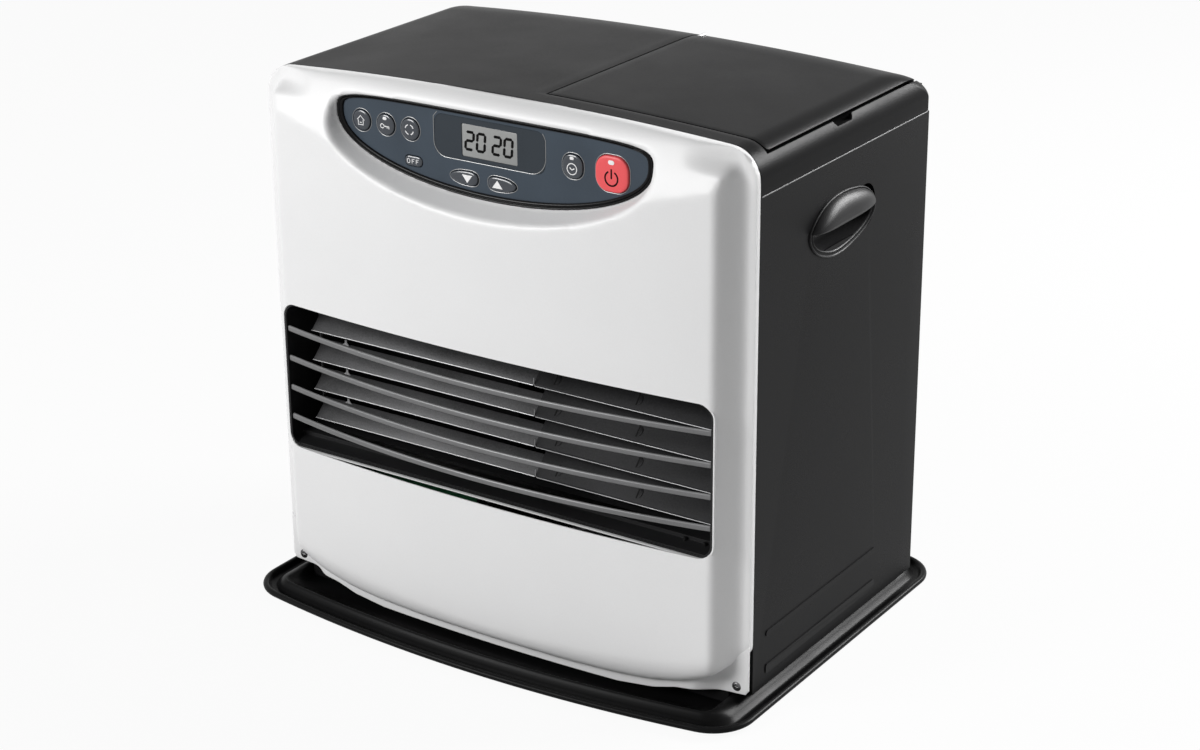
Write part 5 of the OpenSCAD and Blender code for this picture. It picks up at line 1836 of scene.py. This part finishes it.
@dataclass
class Outlet:
    """Bars, frame and louvres."""

    lips: tuple[float, ...] = (159.0, 185.2, 211.4, 237.6)
    left: float = -193.0
    middle: float = 32.0
    right: float = 204.0
    front: float = -8.0
    tab_x: Point2 = (50.0, 126.0)
    tab_rise: float = 7.0

    def vane(self, z: float) -> Obj:
        """One sloping vane.

        Args:
            z: Height of its lip.

        Returns:
            The vane.
        """
        (ay, az), (by, bz) = (self.front, z - 0.5), (self.front + 15.0, z + 13.5)
        return prism([(ay, az), (ay + 1.4, az - 0.2), (by + 0.5, bz - 0.9), (by, bz)], Axis.X, self.left,
                     self.middle - 0.6)

    def gussets(self) -> Obj:
        """The small gussets on the vanes' upper edges, in the lighter finish that paints a highlight.

        Returns:
            The gussets.
        """
        made = []
        for z in self.lips:
            top, deep = z + 12.9, self.front + 14.2
            for x in (-168, -118, -68, -18) if z == self.lips[-1] else (-168,):
                steps = [(x - 3.6, top), (x - 1.1, top + 2.2), (x - 0.9, top + 4.6), (x + 0.9, top + 4.6),
                         (x + 1.1, top + 2.2), (x + 3.6, top)]
                made.append(prism(steps, Axis.Y, deep - 0.9, deep))
        return join(made)

    def vanes(self) -> Obj:
        """The four open vanes.

        Returns:
            The vanes with their post.
        """
        post = prism(rounded_rect(self.left - 3.5, 8, 1.6, 3, 0.6, 3), Axis.Z, 146, 262)
        obj = join([self.vane(z) for z in self.lips] + [post])
        x, z = self.middle, self.lips[-1]
        cut(obj, prism([(x - 5, z + 14), (x + 1, z + 14), (x + 1, z + 8)], Axis.Y, -20, 20))
        bevel(obj, 0.3, 2, 40)
        return obj

    def edges(self) -> Obj:
        """The rolled lower edges of the vanes and of the closed plates, in a lighter finish that paints their
        highlight.

        Returns:
            The edges.
        """
        made = []
        for z in self.lips:
            y = self.front + 0.2
            made.append(tube([(self.left, y, z - 0.4), (self.middle - 0.6, y, z - 0.4)], 0.55, False, 2))
            drop = [(self.middle + 0.4, z + 6.0), (self.middle + 0.4, z + 0.8), (self.middle + 1.6, z - 0.6),
                    (self.right, z - 0.6)]
            made.append(tube([(a, self.front - 0.3, b) for a, b in drop], 0.4, False, 2))
        return join(made)

    def plates(self) -> Obj:
        """The closed plates, each with a lip over the next, in a darker finish that paints their shade.

        Returns:
            The plates.
        """
        made = []
        for z in self.lips:
            top = 262.0 if z == self.lips[-1] else z + 26.0
            profile = [(self.front, z - 0.8), (self.front, z + 1.0), (8.2, z + 17.8), (8.2, top), (9.2, top),
                       (9.2, z + 17.2), (self.front + 1.2, z + 0.2), (self.front + 1.2, z - 0.8)]
            made.append(prism(profile, Axis.X, self.middle, self.right))
        obj = join(made)
        bevel(obj, 0.2, 2, 50)
        return obj

    def on_slopes(self, outline: list[Point2], low: float, high: float) -> list[Obj]:
        """Lays a small shape beside each tab's place, leaning on the plates' slopes.

        Args:
            outline: The shape, from the tab's place.
            low: Where it starts in depth.
            high: Where it ends.

        Returns:
            The shapes.
        """
        made = []
        for z in self.lips:
            for x in self.tab_x:
                obj = prism([(x + a, z + self.tab_rise + b) for a, b in outline], Axis.Y, low, high)
                for vertex in obj.data.vertices:
                    vertex.co.y += (vertex.co.z - z - self.tab_rise) * 0.96
                made.append(obj)
        return made

    def tabs(self) -> Obj:
        """Half-round tabs on the closed plates, in the plates' darker finish with painted shade.

        Returns:
            The tabs.
        """
        obj = join(self.on_slopes([(1.2 + a, b) for a, b in arc((0, 0), 3.0, -90, 90, 10)], -3.0, -1.0))
        bevel(obj, 0.15, 1)
        return obj

    def slots(self) -> Obj:
        """The slots beside the tabs, and the floor's two holes, drawn as black shapes: painted shade where the openings
        are.
        """
        holes = [prism(rounded_rect(x, -14.0, 2.4, 2.4, 1.15, 5), Axis.Z, 140, 145.25) for x in (176.0, 194.0)]
        return join(self.on_slopes(rounded_rect(0, 0, 1.2, 7.4, 0.5, 3), -2.5, -1) + holes)

    def make(self, frame: dict) -> None:
        """Builds the outlet from refined copies and small parts.
        """
        for i in range(1, 5):
            refined(frame, f"guard_bar_{i}", Finishes.BAR, 1.6)
        refined(frame, "outlet_frame", Finishes.DARK, 0.35)
        deliver(self.vanes(), "outlet_vane_plates", Finishes.VANE, ("outlet_vanes",))
        # The closed plates and their tabs are darker than the vanes: painted shade.
        deliver(self.plates(), "outlet_blank_plates", Finishes.SHADED_PLATE, ("outlet_blank",))
        # Edges and gussets are lighter than the vanes: painted highlight.
        deliver(self.edges(), "louvre_edges", Finishes.LIP_HIGHLIGHT)
        deliver(self.gussets(), "vane_gussets", Finishes.LIP_HIGHLIGHT)
        deliver(self.tabs(), "louvre_tabs", Finishes.SHADED_PLATE)
        # The slots are solid black pieces: painted shade in place of openings.
        deliver(self.slots(), "louvre_slots", Finishes.SOOT_AND_HOLE_SHADE)


# Casing and small parts


@dataclass
class Casing:
    """Side panels, rear parts and screws."""

    screw_places: tuple[Point3, ...] = ((218, -3, 23), (-218, -3, 23))
    rear_places: tuple[Point3, ...] = ((223, 267, 60), (-223, 267, 60), (223, 267, 394), (-223, 267, 394))

    def screw(self) -> Obj:
        """A pan-head screw with a cross recess, its head towards the front.

        Returns:
            The screw.
        """
        section = ((1.9, 6.5), (1.9, 0.0), (4.1, 0.0), (4.2, -0.7), (3.9, -1.4), (3.2, -1.95), (2.0, -2.25),
                   (0.9, -2.35))
        head = loft([[(x, y, z) for x, z in arc((0, 0), r, 0, 352.5, 47)] for r, y in section])
        long, thin = 4.6, 0.95
        arm, leg = [prism(rounded_rect(0, 0, w, h, 0.2, 3), Axis.Y, -3, -1.1) for w, h in ((long, thin), (thin, long))]
        cut(arm, leg, "UNION")
        cut(head, arm)
        return head

    def make(self, frame: dict) -> None:
        """Builds the casing's metal and hardware.
        """
        for node, finish, width, angle in (
                ("left_side_panel", Finishes.PANEL, 0.8, 32), ("right_side_panel", Finishes.PANEL, 0.8, 32),
                ("rear_panel", Finishes.PANEL, 0.0, 20), ("base_pan", Finishes.PANEL, 0.4, 32),
                ("fan_guard", Finishes.PART, 0.4, 32), ("air_filter", Finishes.PART, 0.3, 32),
                ("cord_bush", Finishes.PART, 0.5, 32)):
            refined(frame, node, finish, width, angle)
        model = self.screw()
        made = copies(model, self.screw_places)
        for vertex in model.data.vertices:
            vertex.co.y = -vertex.co.y
        recalculate(model)
        made += copies(model, self.rear_places)
        bpy.data.objects.remove(model)
        deliver(join(made), "casing_screw_heads", Finishes.SCREW, ("casing_screws",))


INNER_NODES: dict[Finish, tuple[str, ...]] = {
    Finishes.RUBBER: ("rubber_feet",),
    Finishes.ZINC: ("lid_hinge_pins", "fan_bracket", "board_bracket", "fixed_tank", "tank_well", "cartridge_tank"),
    Finishes.BOARD: ("control_board", "main_board"),
    Finishes.PART: ("key_switches", "tilt_switch"),
    Finishes.SOOT_AND_HOLE_SHADE: ("air_duct", "combustion_chamber"),
    Finishes.HEAT: ("burner_head", "burner_pot"),
    Finishes.CERAMIC: ("igniter", "flame_rod"),
    Finishes.MOTOR: ("fan_motor", "blower_motor", "transformer", "fuel_pump"),
    Finishes.ALUMINIUM: ("convection_fan", "blower_housing", "blower_impeller"),
    Finishes.RED: ("tank_cap",),
    Finishes.GRIP: ("tank_handle",),
    Finishes.COPPER: ("fuel_line",),
}


# Studio


def seen_rays(tree: Tree) -> bpy.types.NodeSocket:
    """The share of rays that see the white background.

    Args:
        tree: The material's or the world's tree.

    Returns:
        A socket that is 1 for camera, glossy and transmission rays.
    """
    path = add_node(tree, "LightPath")
    share = path["Is Camera Ray"]
    for kind in ("Is Glossy Ray", "Is Transmission Ray"):
        share = add_node(tree, "Math", {0: share, 1: path[kind]}, operation="MAXIMUM")["Value"]
    return share


@dataclass
class Studio:
    """Floor, lights, background and camera."""

    eye: Point3 = (1115.3, -1536.7, 1003.8)
    yaw: float = 33.73
    pitch: float = 22.04
    roll: float = -0.42
    lens: float = 77.3
    floor_grey: float = 0.5
    floor_white: float = 0.94
    fill: float = 0.085

    def floor(self) -> None:
        """A pale floor that keeps the shadow and shows nearly white."""
        deselect()
        bpy.ops.mesh.primitive_plane_add(size=30, location=(0, 0, 0))
        obj = bpy.context.object
        obj.name = "studio_floor"
        material = bpy.data.materials.new("studio_floor")
        material.use_nodes = True
        tree = material.node_tree
        shader = tree.nodes["Principled BSDF"]
        connect(tree, shader, {"Base Color": (*[self.floor_grey] * 3, 1), "Roughness": 0.9})
        white = add_node(tree, "Emission", {"Color": (1, 1, 1, 1)})
        share = add_node(tree, "Math", {0: seen_rays(tree), 1: self.floor_white}, operation="MULTIPLY")
        mix = add_node(tree, "MixShader", {"Fac": share["Value"], 1: shader.outputs["BSDF"], 2: white["Emission"]})
        connect(tree, tree.nodes["Material Output"], {"Surface": mix["Shader"]})
        obj.data.materials.append(material)

    def world(self) -> None:
        """A white background and a dim even fill."""
        world = bpy.data.worlds.new("studio")
        bpy.context.scene.world = world
        world.use_nodes = True
        tree = world.node_tree
        level = add_node(tree, "MapRange", {"Value": seen_rays(tree), "To Min": self.fill, "To Max": 1.0})
        connect(tree, tree.nodes["Background"], {"Color": (1, 1, 1, 1), "Strength": level["Result"]})

    def light(self, name: str, eye: Point3, aim: Point3, size: Point2, power: float) -> None:
        """An area light that looks at a point.

        Args:
            name: Name of the light.
            eye: Its place in metres.
            aim: Where it looks.
            size: Width and height.
            power: Watts.
        """
        lamp = bpy.data.lights.new(name, "AREA")
        lamp.shape = "RECTANGLE"
        lamp.size, lamp.size_y = size
        lamp.energy = power
        obj = link(name, lamp)
        obj.location = eye
        obj.rotation_euler = (Vector(aim) - Vector(eye)).to_track_quat("-Z", "Y").to_euler()

    def camera(self) -> None:
        """The photograph's viewpoint, without a shift."""
        data = bpy.data.cameras.new("camera")
        data.lens = self.lens
        data.sensor_width = 36
        obj = link("camera", data)
        obj.location = Vector((self.eye[0], self.eye[1] + SEAM_Y, self.eye[2])) * MM
        obj.rotation_mode = "XYZ"
        turn = (Matrix.Rotation(math.radians(self.yaw), 3, "Z") @ Matrix.Rotation(math.radians(90 - self.pitch), 3, "X")
                @ Matrix.Rotation(math.radians(self.roll), 3, "Z"))
        obj.rotation_euler = turn.to_euler("XYZ")
        bpy.context.scene.camera = obj

    def make(self) -> None:
        """Builds the studio."""
        self.floor()
        self.world()
        middle = (0.0, 0.0, 0.22)
        self.light("key_front", (-1.35, -2.3, 1.42), middle, (1.3, 1.3), 72)
        self.light("side_right", (2.4, 0.2, 1.0), middle, (1.2, 1.0), 2.5)
        self.light("rear_top", (1.25, 1.65, 1.3), (0.15, 0.1, 0.44), (1.2, 0.8), 100)
        bpy.context.scene.view_settings.view_transform = "Standard"
        self.camera()


def main() -> None:
    """Builds the heater and its studio."""
    logging.basicConfig(level=logging.INFO, format="%(message)s")
    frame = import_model()
    deselect()
    Studio().make()
    for finish, nodes in INNER_NODES.items():
        for node in nodes:
            dress(frame["nodes"][node], finish)
            LOG.info("%s keeps its CAD shape in %s", node, finish.name)
    FrontPanel().make()
    ControlPanel().make()
    Top().make()
    Tray().make()
    Handle().make()
    Outlet().make(frame)
    Casing().make(frame)


if __name__ == "__main__":
    main()
